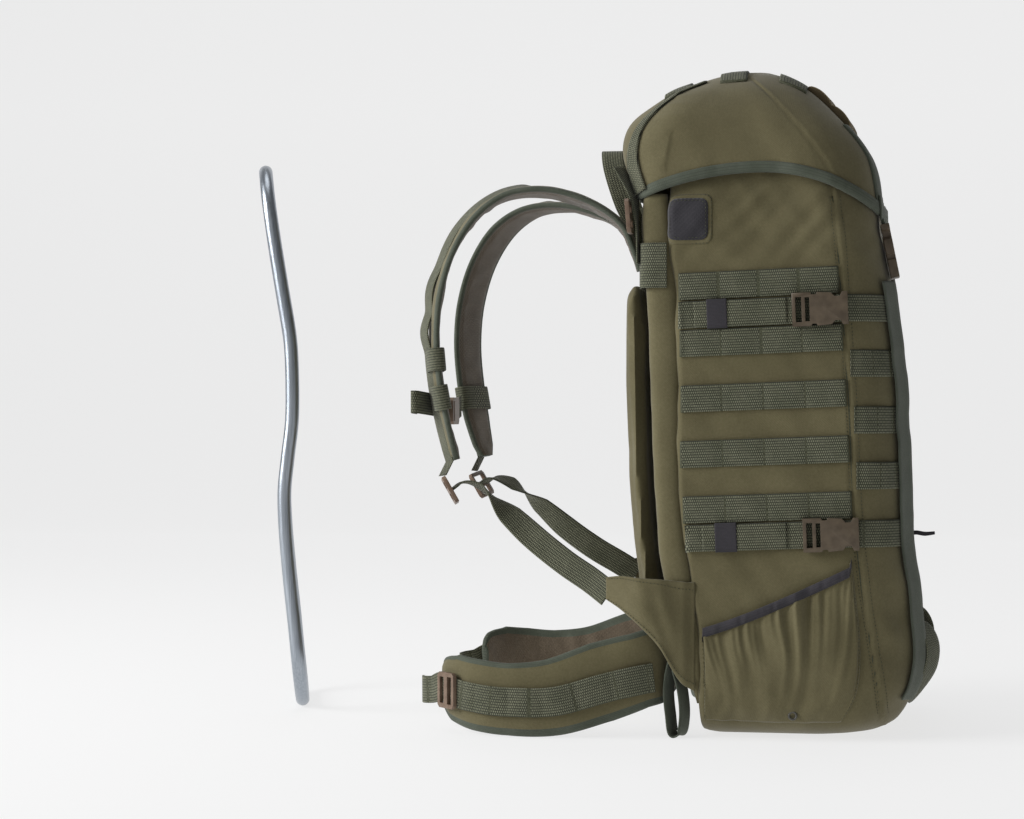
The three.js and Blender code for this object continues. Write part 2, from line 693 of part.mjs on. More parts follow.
function sideRow(middle) {
  const grid = [];
  for (let i = 0; i <= rowCells * 2; i += 1) {
    const x = rowStart + (i / (rowCells * 2)) * rowLength;
    const centre = tilted(x, middle);
    const outer = seatGap + webThick + (i % 2 ? rowBulge : 0);
    grid.push([-1, 1].map((edge) => {
      const z = centre + edge * (webWidth / 2 - 0.3);
      return { z, along: alongSide(x, z), inner: seatGap, outer };
    }));
  }
  return wallPatch(grid);
}

const rowHeights = [0, 1, 2, 3, 4].map((row) => topRowHeight - row * rowPitch - (row > 0 ? 1.4 : 0));
rowHeights.forEach((height, row) => {
  addPair(`side_webbing_${row + 1}`, sideRow(height), webbing);
});

// Side straps: webbing over the side, round the front corner to the vertical front strap.
const strapStart = 5.03;
const strapTurn = 5.9;
const cornerStops = [0, 1, 2];

function sideStrap(middle) {
  const grid = [];
  const places = [strapStart, strapTurn].map((along) => [along, wallPoint(middle, along)[0]]);
  for (const stop of cornerStops) places.push([sideEnd + stop, bagHalf(middle)[sideEnd + stop][0]]);
  for (const [along, x] of places) {
    const centre = tilted(Math.min(x, 80), middle);
    grid.push([-1, 1].map((edge) => (
      { z: centre + edge * (webWidth / 2 - 0.3), along, inner: seatGap, outer: seatGap + webThick })));
  }
  return wallPatch(grid);
}

const strapHeights = { upper: topRowHeight - strapBelowRow, lower: rowHeights[4] - strapBelowRow };
for (const [name, height] of Object.entries(strapHeights)) {
  addPair(`side_strap_${name}`, sideStrap(height), webbing);
}

// Side release buckles: a slotted tongue end and a broad socket, lying on each side strap.
const buckleLong = 51;
const buckleTall = 31;
const buckleFrom = { upper: 19, lower: 29 };

function sideBuckle() {
  const [x, y] = [buckleLong / 2, buckleTall / 2];
  const outline = flatShape([
    [-x, -y], [-x + 17, -y], [-x + 18, -y + 2], [-x + 22, -y + 2], [-x + 23, -y],
    [-x + 36, -y + 1], [-x + 39, -y + 4.5], [-x + 44, -y + 4.5], [-x + 46, -y + 0.5], [x, -y + 0.5],
    [x, y - 0.5], [-x + 46, y - 0.5], [-x + 44, y - 4.5], [-x + 39, y - 4.5], [-x + 36, y - 1],
    [-x + 23, y], [-x + 22, y - 2], [-x + 18, y - 2], [-x + 17, y], [-x, y],
  ]);
  for (const slot of [[-x + 6, 5.5, 23], [-x + 14, 4, 22]]) outline.holes.push(slotPath(slot));
  const geometry = new THREE.ExtrudeGeometry(outline, { depth: buckleThick, bevelEnabled: false });
  geometry.translate(0, 0, -buckleThick / 2);
  return geometry;
}

for (const [name, height] of Object.entries(strapHeights)) {
  const middle = buckleFrom[name] + buckleLong / 2;
  const out = bagWidth / 2 + seatGap * 2 + webThick + rowBulge + buckleThick / 2;
  addPair(`side_buckle_${name}`, placed(sideBuckle(),
    [middle, -out, tilted(middle, height)], [Math.cos(rowTilt), 0, Math.sin(rowTilt)], [0, 0, 1]), plastic);
}

// Side pockets: gathered pouches open along a slanted top, from the base to the front seam.
const pocketBase = bagSections[2][0];
const pocketFold = bagSections[3][0];
const pocketBelowStrap = 21;
const pocketSlant = 71;
const pocketFront = strapHeights.lower - pocketBelowStrap;
const pocketBack = pocketFront - pocketSlant;
const pocketDepth = 9;
const pocketWall = 2;
const pocketColumns = 20;
const pocketRows = 5;
const foldDepth = 1.6;

function sidePocket() {
  const grid = [];
  for (let i = 0; i <= pocketColumns; i += 1) {
    const across = i / pocketColumns;
    const top = pocketBack + (pocketFront - pocketBack) * Math.pow(across, 1.25);
    const row = [];
    for (let j = 0; j <= pocketRows; j += 1) {
      const z = j === 0 ? pocketBase : pocketFold + (top - pocketFold) * (j - 1) / (pocketRows - 1);
      const up = (z - pocketBase) / (top - pocketBase);
      const swell = pocketDepth * Math.pow(Math.sin(Math.PI * across), 0.6) * Math.sin(Math.PI * (0.08 + 0.72 * up));
      const inside = i > 0 && i < pocketColumns && j > 0;
      const fold = inside ? (i % 2 ? foldDepth : -foldDepth) * up * up : 0;
      const inner = inside ? Math.max(seatGap, swell + fold) : seatGap;
      row.push({ z, along: sideStart + 0.02 + 0.96 * across, inner, outer: inner + pocketWall });
    }
    grid.push(row);
  }
  return wallPatch(grid);
}

addPair('side_pocket', sidePocket(), cloth);

// Front straps: webbing down both front corners from the lid buckles to the base.
const frontStrapAlong = [8.15, 9, 9.8];
const frontStrapTop = 426;
const frontStrapFoot = 30;

function frontStrap() {
  const heights = [frontStrapTop, ...bagSections.map((row) => row[0])
    .filter((z) => z < frontStrapTop && z > frontStrapFoot).reverse(), frontStrapFoot];
  const stops = [...heights];
  for (const height of Object.values(strapHeights)) stops.push(height - 16, height + 16);
  stops.sort((a, b) => b - a);
  return wallPatch(stops.map((z) => frontStrapAlong.map((along) => (
    { z, along, inner: seatGap, outer: seatGap + webThick }))));
}

addPair('front_strap', frontStrap(), webbing);

// Lid buckles: side release buckles that hang from the lid's hem over the front straps.
const lidBuckleHeight = 455;
const lidBuckleY = -100;
const lidBuckleX = bagHalf(lidBuckleHeight)[10][0] + buckleThick / 2 + 7 * seatGap;
const lidBuckleAt = [lidBuckleX, lidBuckleY, lidBuckleHeight];
addPair('lid_buckle', placed(sideBuckle(), lidBuckleAt, [-0.2, 0, 1], [0, 1, 0]), plastic);

// Side patch: a plain square of dark tape on the left side, near the top.
addPiece('side_patch', wallPatch([-95, -60].map((x) => [467, 502].map((z) => (
  { z, along: alongSide(x, z), inner: seatGap, outer: seatGap + 1.2 })))), elastic);

// Frame: one loop of bent tube, curved to the back, standing beside the bag.
// Columns: height as a share of the frame's, forward place as a share of the frame's own height.
const frameCurve = [
  [0.000, 0.030], [0.080, 0.021], [0.150, 0.014], [0.240, 0.004], [0.330, -0.004], [0.400, -0.006],
  [0.460, 0.000], [0.530, 0.008], [0.620, 0.008], [0.680, 0.004], [0.770, -0.011], [0.860, -0.026],
  [0.930, -0.036], [1.000, -0.043],
];

function frameTube() {
  const radius = tubeDiameter / 2;
  const half = frameWidth / 2 - radius;
  const [low, high] = [radius, frameHeight - radius];
  const outline = [];
  const corners = [[1, high, 0], [-1, high, 1], [-1, low, 2], [1, low, 3]];
  for (const [side, end, quarter] of corners) {
    const middle = [side * (half - frameCorner), end + (end === high ? -frameCorner : frameCorner)];
    for (let i = 0; i <= 4; i += 1) {
      const angle = (quarter + i / 4) * Math.PI / 2;
      outline.push([middle[0] + frameCorner * Math.cos(angle), middle[1] + frameCorner * Math.sin(angle)]);
    }
    const legs = side < 0 && end === high ? frameCurve.slice(2, -2).reverse() : frameCurve.slice(2, -2);
    if (quarter === 1 || quarter === 3) {
      for (const [height] of legs) outline.push([side * half, height * frameHeight]);
    }
  }
  const centres = outline.map(([across, z]) => {
    const bend = readTable(frameCurve, z / frameHeight)[1] * frameHeight;
    return new THREE.Vector3(
      framePlace + bend - across * Math.sin(frameTurn), frameAside + across * Math.cos(frameTurn), z);
  });
  const aside = new THREE.Vector3(Math.cos(frameTurn), Math.sin(frameTurn), 0);
  const rings = centres.map((centre, i) => {
    const before = centres[(i + centres.length - 1) % centres.length];
    const after = centres[(i + 1) % centres.length];
    const along = after.clone().sub(before).normalize();
    const first = aside.clone().addScaledVector(along, -aside.dot(along)).normalize();
    const second = new THREE.Vector3().crossVectors(along, first);
    return [0, 1, 2, 3, 4, 5, 6, 7].map((k) => {
      const angle = (k + 0.5) / 8 * Math.PI * 2;
      return centre.clone().addScaledVector(first, radius * Math.cos(angle))
        .addScaledVector(second, radius * Math.sin(angle)).toArray();
    });
  });
  return loft(rings, true);
}

addPiece('frame_tube', frameTube(), metal);

export default pack;
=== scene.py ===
import math

import bpy
from mathutils import Matrix, Vector, noise


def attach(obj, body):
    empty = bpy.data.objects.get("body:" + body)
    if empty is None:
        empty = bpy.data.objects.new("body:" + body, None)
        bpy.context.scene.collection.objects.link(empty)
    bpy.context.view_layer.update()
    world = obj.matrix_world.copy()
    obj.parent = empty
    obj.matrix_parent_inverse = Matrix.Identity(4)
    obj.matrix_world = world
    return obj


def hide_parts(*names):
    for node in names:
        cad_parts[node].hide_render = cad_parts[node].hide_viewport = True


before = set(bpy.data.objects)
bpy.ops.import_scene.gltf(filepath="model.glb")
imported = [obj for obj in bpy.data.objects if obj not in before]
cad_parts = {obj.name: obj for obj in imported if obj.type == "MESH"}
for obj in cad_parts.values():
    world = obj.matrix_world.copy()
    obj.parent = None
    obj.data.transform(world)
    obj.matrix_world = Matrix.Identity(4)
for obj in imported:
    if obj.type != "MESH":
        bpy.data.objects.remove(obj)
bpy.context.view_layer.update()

# Camera: level, a little below the middle of the bag, looking at the wearer's left side and
# slightly from the front, with the tube frame on the left of the view.
camera_place = Vector((0.0838, -2.214, 0.3066))
camera_forward = Vector((-0.1564, 0.9877, 0.0))
camera_turn = camera_forward.to_track_quat("-Z", "Y").to_euler()
lens_length = 78
bpy.ops.object.select_all(action="DESELECT")
bpy.ops.object.camera_add(location=camera_place, rotation=camera_turn)
camera = bpy.context.object
camera.name = "camera"
camera.data.lens = lens_length
camera.data.sensor_width = 36
camera.data.clip_end = 20
bpy.context.scene.camera = camera
bpy.context.scene.view_settings.view_transform = "Standard"

# Studio: a pale sheet of card that sweeps up behind the bag, with one broad light high on the
# left, a weaker one from the front and a strip of light over the top.
card_finish = {
    "Base Color": (0.20, 0.20, 0.20, 1), "Roughness": 0.9, "Specular IOR Level": 0.1,
    "Emission Color": (1, 1, 1, 1), "Emission Strength": 0.72,
}
card_half_width = 5.0
card_front = -3.4
card_back = 4.2
card_height = 4.4
sweep_radius = 1.2
bpy.ops.mesh.primitive_plane_add(size=1)
backdrop = bpy.context.object
backdrop.name = "studio_card"
for corner in backdrop.data.vertices:
    corner.co.x *= 2 * card_half_width
    corner.co.y = card_front if corner.co.y < 0 else card_back
bpy.ops.object.mode_set(mode="EDIT")
bpy.ops.mesh.select_mode(type="EDGE")
bpy.ops.mesh.select_all(action="DESELECT")
bpy.ops.object.mode_set(mode="OBJECT")
for edge in backdrop.data.edges:
    edge.select = all(backdrop.data.vertices[k].co.y > 0 for k in edge.vertices)
bpy.ops.object.mode_set(mode="EDIT")
bpy.ops.mesh.extrude_region_move(TRANSFORM_OT_translate={"value": (0, 0, card_height)})
bpy.ops.object.mode_set(mode="OBJECT")
sweep = backdrop.modifiers.new("sweep", "BEVEL")
sweep.width = sweep_radius
sweep.segments = 24
bpy.ops.object.modifier_apply(modifier="sweep")
bpy.ops.object.shade_smooth()
backdrop_paint = bpy.data.materials.new("studio_card")
backdrop_paint.use_nodes = True
backdrop_shader = backdrop_paint.node_tree.nodes["Principled BSDF"]
for socket, value in card_finish.items():
    backdrop_shader.inputs[socket].default_value = value
backdrop.data.materials.append(backdrop_paint)

studio_air = bpy.data.worlds.new("studio_air")
studio_air.use_nodes = True
air_light = studio_air.node_tree.nodes["Background"]
air_light.inputs["Color"].default_value = (0.95, 0.97, 1.0, 1)
air_light.inputs["Strength"].default_value = 0.16
bpy.context.scene.world = studio_air

# Each lamp's name, place, target, size in metres and power in watts.
lamps = [
    ("left_window", (-2.7, -1.1, 1.3), (-0.05, 0.0, 0.28), 1.8, 92),
    ("front_fill", (-0.6, -3.2, 1.4), (0.0, 0.0, 0.3), 2.2, 5),
    ("top_strip", (-0.5, 0.1, 2.6), (0.0, 0.0, 0.4), 1.4, 12),
]
for lamp_name, lamp_place, lamp_target, lamp_size, lamp_power in lamps:
    lamp_turn = (Vector(lamp_target) - Vector(lamp_place)).to_track_quat("-Z", "Y").to_euler()
    bpy.ops.object.light_add(type="AREA", location=lamp_place, rotation=lamp_turn)
    lamp = bpy.context.object
    lamp.name = lamp_name
    lamp.data.size = lamp_size
    lamp.data.energy = lamp_power

# Bag body: one tall sewn cloth tube on a flat base, cut from a back, two sides and a front panel,
# with felled seams at the corners. The cloth is a matt olive weave of cotton and nylon.
mm = 0.001
bag_height = 536
bag_depth = 225
bag_width = 300
panel_crown = 0.012


def tuned(material, node_type, **values):
    """Adds a node to a material and sets its properties and sockets by name."""
    node = material.node_tree.nodes.new(node_type)
    for key, value in values.items():
        if hasattr(node, key):
            setattr(node, key, value)
        else:
            node.inputs[key.replace("_", " ")].default_value = value
    return node


def joined(material, *links):
    """Links nodes. Each link is a node and its output, then a node and its input."""
    for source, output, target, entry in links:
        material.node_tree.links.new(source.outputs[output], target.inputs[entry])


def blank(name, roughness, metallic=0.0):
    """A new material with its shader, its roughness and its metal set on the shader itself."""
    material = bpy.data.materials.new(name)
    material.use_nodes = True
    shader = material.node_tree.nodes["Principled BSDF"]
    shader.inputs["Roughness"].default_value = roughness
    shader.inputs["Metallic"].default_value = metallic
    shader.inputs["Specular IOR Level"].default_value = 0.3
    return material, shader


def ramp(material, stops):
    node = material.node_tree.nodes.new("ShaderNodeValToRGB")
    while len(node.color_ramp.elements) < len(stops):
        node.color_ramp.elements.new(0.5)
    for element, (position, colour) in zip(node.color_ramp.elements, stops):
        element.position = position
        element.color = (*colour, 1)
    return node


def woven_cloth(name, dark, middle, light, weave_pitch=0.0011, sheen=0.18, bump=0.25):
    """Matt cloth: soft patches of tone, flecked yarns and a fine over-and-under weave."""
    material, shader = blank(name, 0.86)
    shader.inputs["Sheen Weight"].default_value = sheen
    shader.inputs["Sheen Roughness"].default_value = 0.5
    place = tuned(material, "ShaderNodeTexCoord")
    patches = tuned(material, "ShaderNodeTexNoise", Scale=14.0, Detail=6.0, Roughness=0.62)
    flecks = tuned(material, "ShaderNodeTexNoise", Scale=520.0, Detail=2.0)
    mix = tuned(material, "ShaderNodeMix", data_type="FLOAT", Factor=0.34)
    tones = ramp(material, [(0.30, dark), (0.52, middle), (0.74, light)])
    joined(
        material,
        (place, "Object", patches, "Vector"),
        (place, "Object", flecks, "Vector"),
        (patches, "Fac", mix, 2),
        (flecks, "Fac", mix, 3),
        (mix, 0, tones, "Fac"),
        (tones, "Color", shader, "Base Color"),
    )
    turns = []
    for turn in [(0.0, 0.0, 0.0), (math.pi / 2, 0.0, 0.0)]:
        yarns = tuned(material, "ShaderNodeTexWave", wave_profile="SIN", bands_direction="DIAGONAL",
                      Scale=0.31 / weave_pitch, Distortion=1.2, Detail=2.0)
        tilt = tuned(material, "ShaderNodeMapping", Rotation=turn)
        joined(
            material,
            (place, "Object", tilt, "Vector"),
            (tilt, "Vector", yarns, "Vector"),
        )
        turns.append(yarns)
    cross = tuned(material, "ShaderNodeMath", operation="MULTIPLY")
    relief = tuned(material, "ShaderNodeBump", Distance=0.0004, Strength=bump)
    joined(
        material,
        (turns[0], "Fac", cross, 0),
        (turns[1], "Fac", cross, 1),
        (cross, "Value", relief, "Height"),
        (relief, "Normal", shader, "Normal"),
    )
    return material


olive_cloth = woven_cloth("olive_cloth", (0.092, 0.079, 0.036), (0.121, 0.105, 0.051), (0.154, 0.135, 0.069))
sewn_within = 0.00002


def picked(piece):
    """Makes a piece the only one selected and the active one."""
    bpy.ops.object.select_all(action="DESELECT")
    piece.select_set(True)
    bpy.context.view_layer.objects.active = piece


def closed_up(piece, merge=0.0, fill=False):
    """Merges doubled corners, fills what is open and turns every face outwards."""
    picked(piece)
    bpy.ops.object.mode_set(mode="EDIT")
    bpy.ops.mesh.select_all(action="SELECT")
    if merge:
        bpy.ops.mesh.remove_doubles(threshold=merge)
    if fill:
        bpy.ops.mesh.select_all(action="SELECT")
        bpy.ops.mesh.fill_holes(sides=0)
    bpy.ops.mesh.select_all(action="SELECT")
    bpy.ops.mesh.normals_make_consistent(inside=False)
    bpy.ops.object.mode_set(mode="OBJECT")


def woven_grid(name, columns, rows, place, material, wrap=False, ends=False, paint=None):
    """A grid primitive whose corners move to place(u, v), with its UV map in metres of cloth.

    wrap sews the two long sides together into a tube, and ends closes what is left open.
    paint(u, v) gives the number of the material that a face has.
    """
    bpy.ops.object.select_all(action="DESELECT")
    bpy.ops.mesh.primitive_grid_add(x_subdivisions=columns, y_subdivisions=rows, size=1)
    piece = bpy.context.object
    piece.name = name
    mesh = piece.data
    if paint:
        for face in mesh.polygons:
            face.material_index = paint(face.center.x + 0.5, face.center.y + 0.5)
    uv = {}
    for corner in mesh.vertices:
        u, v = corner.co.x + 0.5, corner.co.y + 0.5
        spot, flat = place(u, v)
        corner.co = [value * mm for value in spot]
        uv[corner.index] = [value * mm for value in flat]
    layer = mesh.uv_layers.active.data
    for loop in mesh.loops:
        layer[loop.index].uv = uv[loop.vertex_index]
    closed_up(piece, sewn_within if wrap else 0.0, ends)
    bpy.ops.object.shade_smooth()
    mesh.materials.append(material)
    return piece


def shelled(piece, thickness):
    """Gives a sheet its wall, on the inner side."""
    picked(piece)
    shell = piece.modifiers.new("shell", "SOLIDIFY")
    shell.thickness = thickness * mm
    shell.offset = -1
    bpy.ops.object.modifier_apply(modifier="shell")


def belongs(piece, slot, *nodes):
    """A finished piece: it moves with the bag and stands for its solids."""
    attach(piece, "root")
    if nodes:
        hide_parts(*nodes)


def read_smooth(rows, place):
    """Smooth reading of a table of rows, each row starting with its place."""
    last = len(rows) - 1
    if place <= rows[0][0]:
        return rows[0][1:]
    if place >= rows[last][0]:
        return rows[last][1:]
    i = next(k for k in range(last) if rows[k + 1][0] > place)
    step = rows[i + 1][0] - rows[i][0]
    t = (place - rows[i][0]) / step
    values = []
    for a in range(1, len(rows[0])):
        slopes = []
        for k in (i, i + 1):
            low, high = max(k - 1, 0), min(k + 1, last)
            slopes.append((rows[high][a] - rows[low][a]) / (rows[high][0] - rows[low][0]) * step)
        start, end = rows[i][a], rows[i + 1][a]
        values.append(
            start * (2 * t ** 3 - 3 * t ** 2 + 1) + slopes[0] * (t ** 3 - 2 * t ** 2 + t)
            + end * (3 * t ** 2 - 2 * t ** 3) + slopes[1] * (t ** 3 - t ** 2)
        )
    return values


# Height, then back, front, half width, front corner, back corner and swell of the back panel.
bag_sections = [
    (0.000, -0.262, 0.347, 0.327, 0.200, 0.060, 0.000),
    (0.012, -0.289, 0.444, 0.427, 0.231, 0.040, 0.004),
    (0.037, -0.298, 0.524, 0.480, 0.249, 0.027, 0.013),
    (0.090, -0.298, 0.593, 0.498, 0.258, 0.027, 0.040),
    (0.175, -0.305, 0.609, 0.500, 0.262, 0.027, 0.045),
    (0.270, -0.342, 0.582, 0.500, 0.258, 0.027, 0.045),
    (0.332, -0.363, 0.562, 0.500, 0.253, 0.027, 0.045),
    (0.448, -0.389, 0.553, 0.500, 0.253, 0.027, 0.045),
    (0.600, -0.389, 0.540, 0.500, 0.253, 0.027, 0.045),
    (0.775, -0.396, 0.489, 0.500, 0.253, 0.027, 0.045),
    (0.850, -0.420, 0.453, 0.499, 0.249, 0.027, 0.036),
    (0.935, -0.431, 0.424, 0.495, 0.244, 0.040, 0.018),
    (1.000, -0.422, 0.370, 0.467, 0.240, 0.089, 0.009),
]
# Along the section: the flat side runs from 5 to 6, and the front corner from 6 to 10.
back_spread = 0.76
back_edge = 0.79
front_middle = 11
nudge = 0.12


def half_section(row, along):
    """A point of a bag's half section. along runs from 0, the back middle, to 11, the front middle."""
    back, front, half, front_round, back_round, swell = row
    x_back, x_front, reach = back * bag_depth, front * bag_depth, half * bag_width
    r_front, r_back = front_round * bag_depth, back_round * bag_depth
    edge = min(back_edge * reach, reach - r_back - 1)
    if along <= 1:
        return x_back - swell * bag_depth, -back_spread * edge * along
    if along <= 2:
        ease = (1 - math.cos((along - 1) * math.pi)) / 2
        y = -edge * (back_spread + (1 - back_spread) * (along - 1))
        return x_back - swell * bag_depth * (1 - ease), y
    if along <= 3:
        return x_back, -edge - (reach - r_back - edge) * (along - 2)
    if along <= 5:
        angle = (along - 3) * math.pi / 4
        return x_back + r_back * (1 - math.cos(angle)), -reach + r_back * (1 - math.sin(angle))
    if along <= 6:
        return x_back + r_back + (x_front - r_front - x_back - r_back) * (along - 5), -reach
    if along <= 10:
        angle = (along - 6) * math.pi / 8
        return x_front - r_front * (1 - math.sin(angle)), -reach + r_front * (1 - math.cos(angle))
    crown = math.sin((along - 10) * math.pi / 2) * panel_crown * bag_depth
    return x_front + crown, (-reach + r_front) * (front_middle - along)


def wall(z, along):
    """A point of the bag's plain wall, in millimetres. along is below 0 on the wearer's right."""
    x, y = half_section(read_smooth(bag_sections, z / bag_height), min(abs(along), front_middle))
    return Vector((x, y if along >= 0 else -y, z))


def beside(along):
    """The places a little in front of and behind a place on a section, and the side it is on."""
    side = 1 if along >= 0 else -1
    return side * min(abs(along) + nudge, front_middle), side * max(abs(along) - nudge, 0), side


def wall_normal(z, along):
    front, back, side = beside(along)
    across = wall(z, front) - wall(z, back)
    up = wall(z + 4, along) - wall(z - 4, along)
    return across.cross(up).normalized() * side


def side_along(x, z):
    """Where a distance in X falls on the side of the bag, round corners included."""
    back, front, half, front_round, back_round, swell = read_smooth(bag_sections, z / bag_height)
    start, end = (back + back_round) * bag_depth, (front - front_round) * bag_depth
    if x < start:
        return 3 + math.acos(min(1, (start - x) / (back_round * bag_depth))) * 4 / math.pi
    if x > end:
        return 6 + math.asin(min(1, (x - end) / (front_round * bag_depth))) * 8 / math.pi
    return 5 + (x - start) / (end - start)


row_tilt = math.radians(2.2)
row_middle = -13
row_calm = 0.75
row_calm_reach = 22
side_first, side_last = 4.9, 10
row_heights = [423.5, 370.5, 318.9, 267.3, 215.7]
strap_heights = [396.9, 189.1]
front_row_heights = [349.3, 297.0, 245.7]
seam_points = [
    (0, 104), (40, 99), (80, 93), (150, 82), (215, 76), (320, 71), (423, 64), (480, 59), (536, 54),
]


def tilted(x, height):
    return height + math.tan(row_tilt) * (x - row_middle)


def bump_at(distance, reach):
    """1 at no distance, falling smoothly to 0 at reach."""
    share = min(abs(distance) / reach, 1)
    return (1 - share * share) ** 2


def ripple(*place):
    """Smooth noise at a place, from about -1 to 1, the same on every run."""
    return noise.noise(Vector(place))


def wrinkle(spot, along):
    """How far the cloth stands off the plain wall, in millimetres."""
    x, y, z = spot
    side = -1 if along >= 0 else 1
    calm = 0.0
    if side_first < abs(along) < side_last:
        heights = row_heights + strap_heights
        calm = row_calm * max(bump_at(z - tilted(x, height), row_calm_reach) for height in heights)
    broad = ripple(x / 95, y / 95 + 5 * side, z / 60 + 3) * 2.6
    sag = ripple(x / 60 + z / 85, y / 70 + 9 * side, z / 22) * 1.3
    slant = ripple((x + 0.8 * z) / 24, y / 50 + 2 * side, (z - 0.8 * x) / 90) * 1.5
    low_front = max(0.0, min((abs(along) - 6.2) / 2, 1)) * bump_at(z - 70, 130)
    crush = ripple(x / 20 + z / 60, y / 26, z / 34) * 2.4 * low_front
    under_lid = bump_at(z - 500, 90) * ripple((x - 0.9 * z) / 17, y / 40, (z + x) / 80) * 1.9
    foot = min(max(z / 30, 0), 1)
    return ((broad + sag + slant + under_lid) * (1 - calm) + crush) * foot


seam_relief_last = 9


def seam_relief(x, z, along):
    """The ridge of the felled seam where the side panel meets the front panel."""
    if not side_first < abs(along) < seam_relief_last:
        return 0.0
    gap = x - seam_place(z)
    return 1.1 * bump_at(gap - 2.5, 3.6) - 1.3 * bump_at(gap + 1.0, 2.0)


def seam_place(z):
    """Where the front seam runs on the side of the bag, which moves forward near the base."""
    return read_smooth(seam_points, z)[0]


def skin(z, along, out=0.0):
    """A point of the bag's wrinkled cloth, with out millimetres added to stand off it."""
    spot = wall(z, along)
    lift = wrinkle(spot, along) + seam_relief(spot.x, z, along)
    return spot + wall_normal(z, along) * (lift + out)


# Where the columns of the bag and lid stand along the section, close together on the sides.
ring_stops = (
    [k / 10 for k in range(21)] + [2.25, 2.5, 2.75] + [3 + k / 4 for k in range(8)]
    + [5 + k / 76 for k in range(76)] + [6 + k / 8 for k in range(32)] + [10 + k / 26 for k in range(27)]
)
ring_stops = ring_stops + [-stop for stop in reversed(ring_stops[1:-1])]
base_turns = 7
mouth_turns = 5
body_rows = 190
column_step = 4


def ring_stop(u):
    """The column at a share of the way round, and its place along the section."""
    index = round(u * len(ring_stops)) % len(ring_stops)
    return index, ring_stops[index]


def body_place(u, v):
    """Rows of the bag: gathered base rows, the wall, and the drawn-in mouth under the lid."""
    index, along = ring_stop(u)
    row = round(v * body_rows)
    if row < base_turns:
        rim = wall(0, along)
        share = row / base_turns
        return Vector((rim.x * share + 10 * (1 - share), rim.y * share, 0.2)), (index * column_step, row * 8)
    if row > body_rows - mouth_turns:
        share = (body_rows - row) / mouth_turns
        rim = skin(bag_height, along)
        middle = Vector((-6, 0, bag_height + 16))
        return middle.lerp(rim, share), (index * column_step, row * 3)
    z = bag_height * (row - base_turns) / (body_rows - mouth_turns - base_turns)
    return skin(z, along), (index * column_step, z)


bag = woven_grid("bag_cloth", len(ring_stops), body_rows, body_place, olive_cloth, wrap=True)
belongs(bag, "olive_cloth", "bag_body")


# Lid: a domed hood of the same cloth over the bag's mouth, sewn from a top and a side band, with a
# hem that arches along each side and is bound in grey-green tape.
lid_rim = 515
lid_top = 629
lid_dome = lid_top - lid_rim
lid_wall = 2.2
hem_middle = -10
hem_span = 100
lid_sections = [
    (0.000, -0.560, 0.458, 0.508, 0.262, 0.133, 0.000),
    (0.196, -0.622, 0.409, 0.510, 0.262, 0.178, 0.000),
    (0.366, -0.631, 0.358, 0.505, 0.253, 0.200, 0.000),
    (0.541, -0.600, 0.293, 0.490, 0.240, 0.222, 0.000),
    (0.716, -0.511, 0.218, 0.457, 0.222, 0.222, 0.000),
    (0.850, -0.404, 0.138, 0.410, 0.182, 0.178, 0.000),
    (0.950, -0.278, 0.051, 0.340, 0.120, 0.120, 0.000),
    (1.000, -0.190, -0.010, 0.270, 0.070, 0.070, 0.000),
]


def hem_height(x):
    share = (x - hem_middle) / hem_span
    return lid_rim + 12 - (18 if share < 0 else 31) * min(share * share, 1.2)


def hood(share, along):
    """A point of the lid's plain surface, from 0 at the hem to 1 at the top."""
    x, y = half_section(read_smooth(lid_sections, share), min(abs(along), front_middle))
    z = lid_rim + share * lid_dome
    ease = max(0.0, 1 - share / 0.24) ** 1.5
    return Vector((x, y if along >= 0 else -y, z + (hem_height(x) - lid_rim) * ease))


def hood_normal(share, along):
    front, back, side = beside(along)
    across = hood(share, front) - hood(share, back)
    up = hood(min(share + 0.03, 1), along) - hood(max(share - 0.03, 0), along)
    return across.cross(up).normalized() * side


def hood_folds(spot, share, along):
    """Soft folds of the filled lid and the two seams that join its top to its side bands."""
    x, y, z = spot
    side = -1 if along >= 0 else 1
    broad = ripple(x / 80, y / 80 + 3 * side, z / 60 + 7) * 3.0
    drape = ripple((x + 0.5 * z) / 30, y / 45 + side, (z - 0.4 * x) / 110) * 1.5
    near_hem = bump_at(share, 0.4) * ripple(x / 17, y / 30 + side, z / 60) * 1.2
    seam = 0.0
    if 4 < abs(along) < 9:
        front_seam = 62 - 62 * share - 30 * share * share
        back_seam = -103 + 20 * share
        seam = 0.6 * bump_at(x - front_seam - 2, 3.5) - 0.8 * bump_at(x - front_seam + 2, 2.4)
        seam += 0.8 * bump_at(x - back_seam, 3.0)
    return broad + drape + near_hem + seam


def hood_skin(share, along, out=0.0):
    spot = hood(share, along)
    lift = hood_folds(spot, share, along) * min(1, (1.02 - share) * 6)
    return spot + hood_normal(share, along) * (lift + out)


lid_rows = 96
lid_cap_rows = 6
lid_top_share = 0.999


def lid_place(u, v):
    index, along = ring_stop(u)
    row = round(v * lid_rows)
    if row > lid_rows - lid_cap_rows:
        share = (lid_rows - row) / lid_cap_rows
        rim = hood_skin(lid_top_share, along)
        middle = Vector((-25, 0, lid_top + 0.6))
        crown = Vector((0, 0, 0.8 * share * (1 - share)))
        return middle.lerp(rim, share) + crown, (index * column_step, row * 3)
    share = lid_top_share * row / (lid_rows - lid_cap_rows)
    return hood_skin(share, along), (index * column_step, row * 1.6)


lid = woven_grid("lid_cloth", len(ring_stops), lid_rows, lid_place, olive_cloth, wrap=True)
shelled(lid, lid_wall)
belongs(lid, "olive_cloth", "lid")


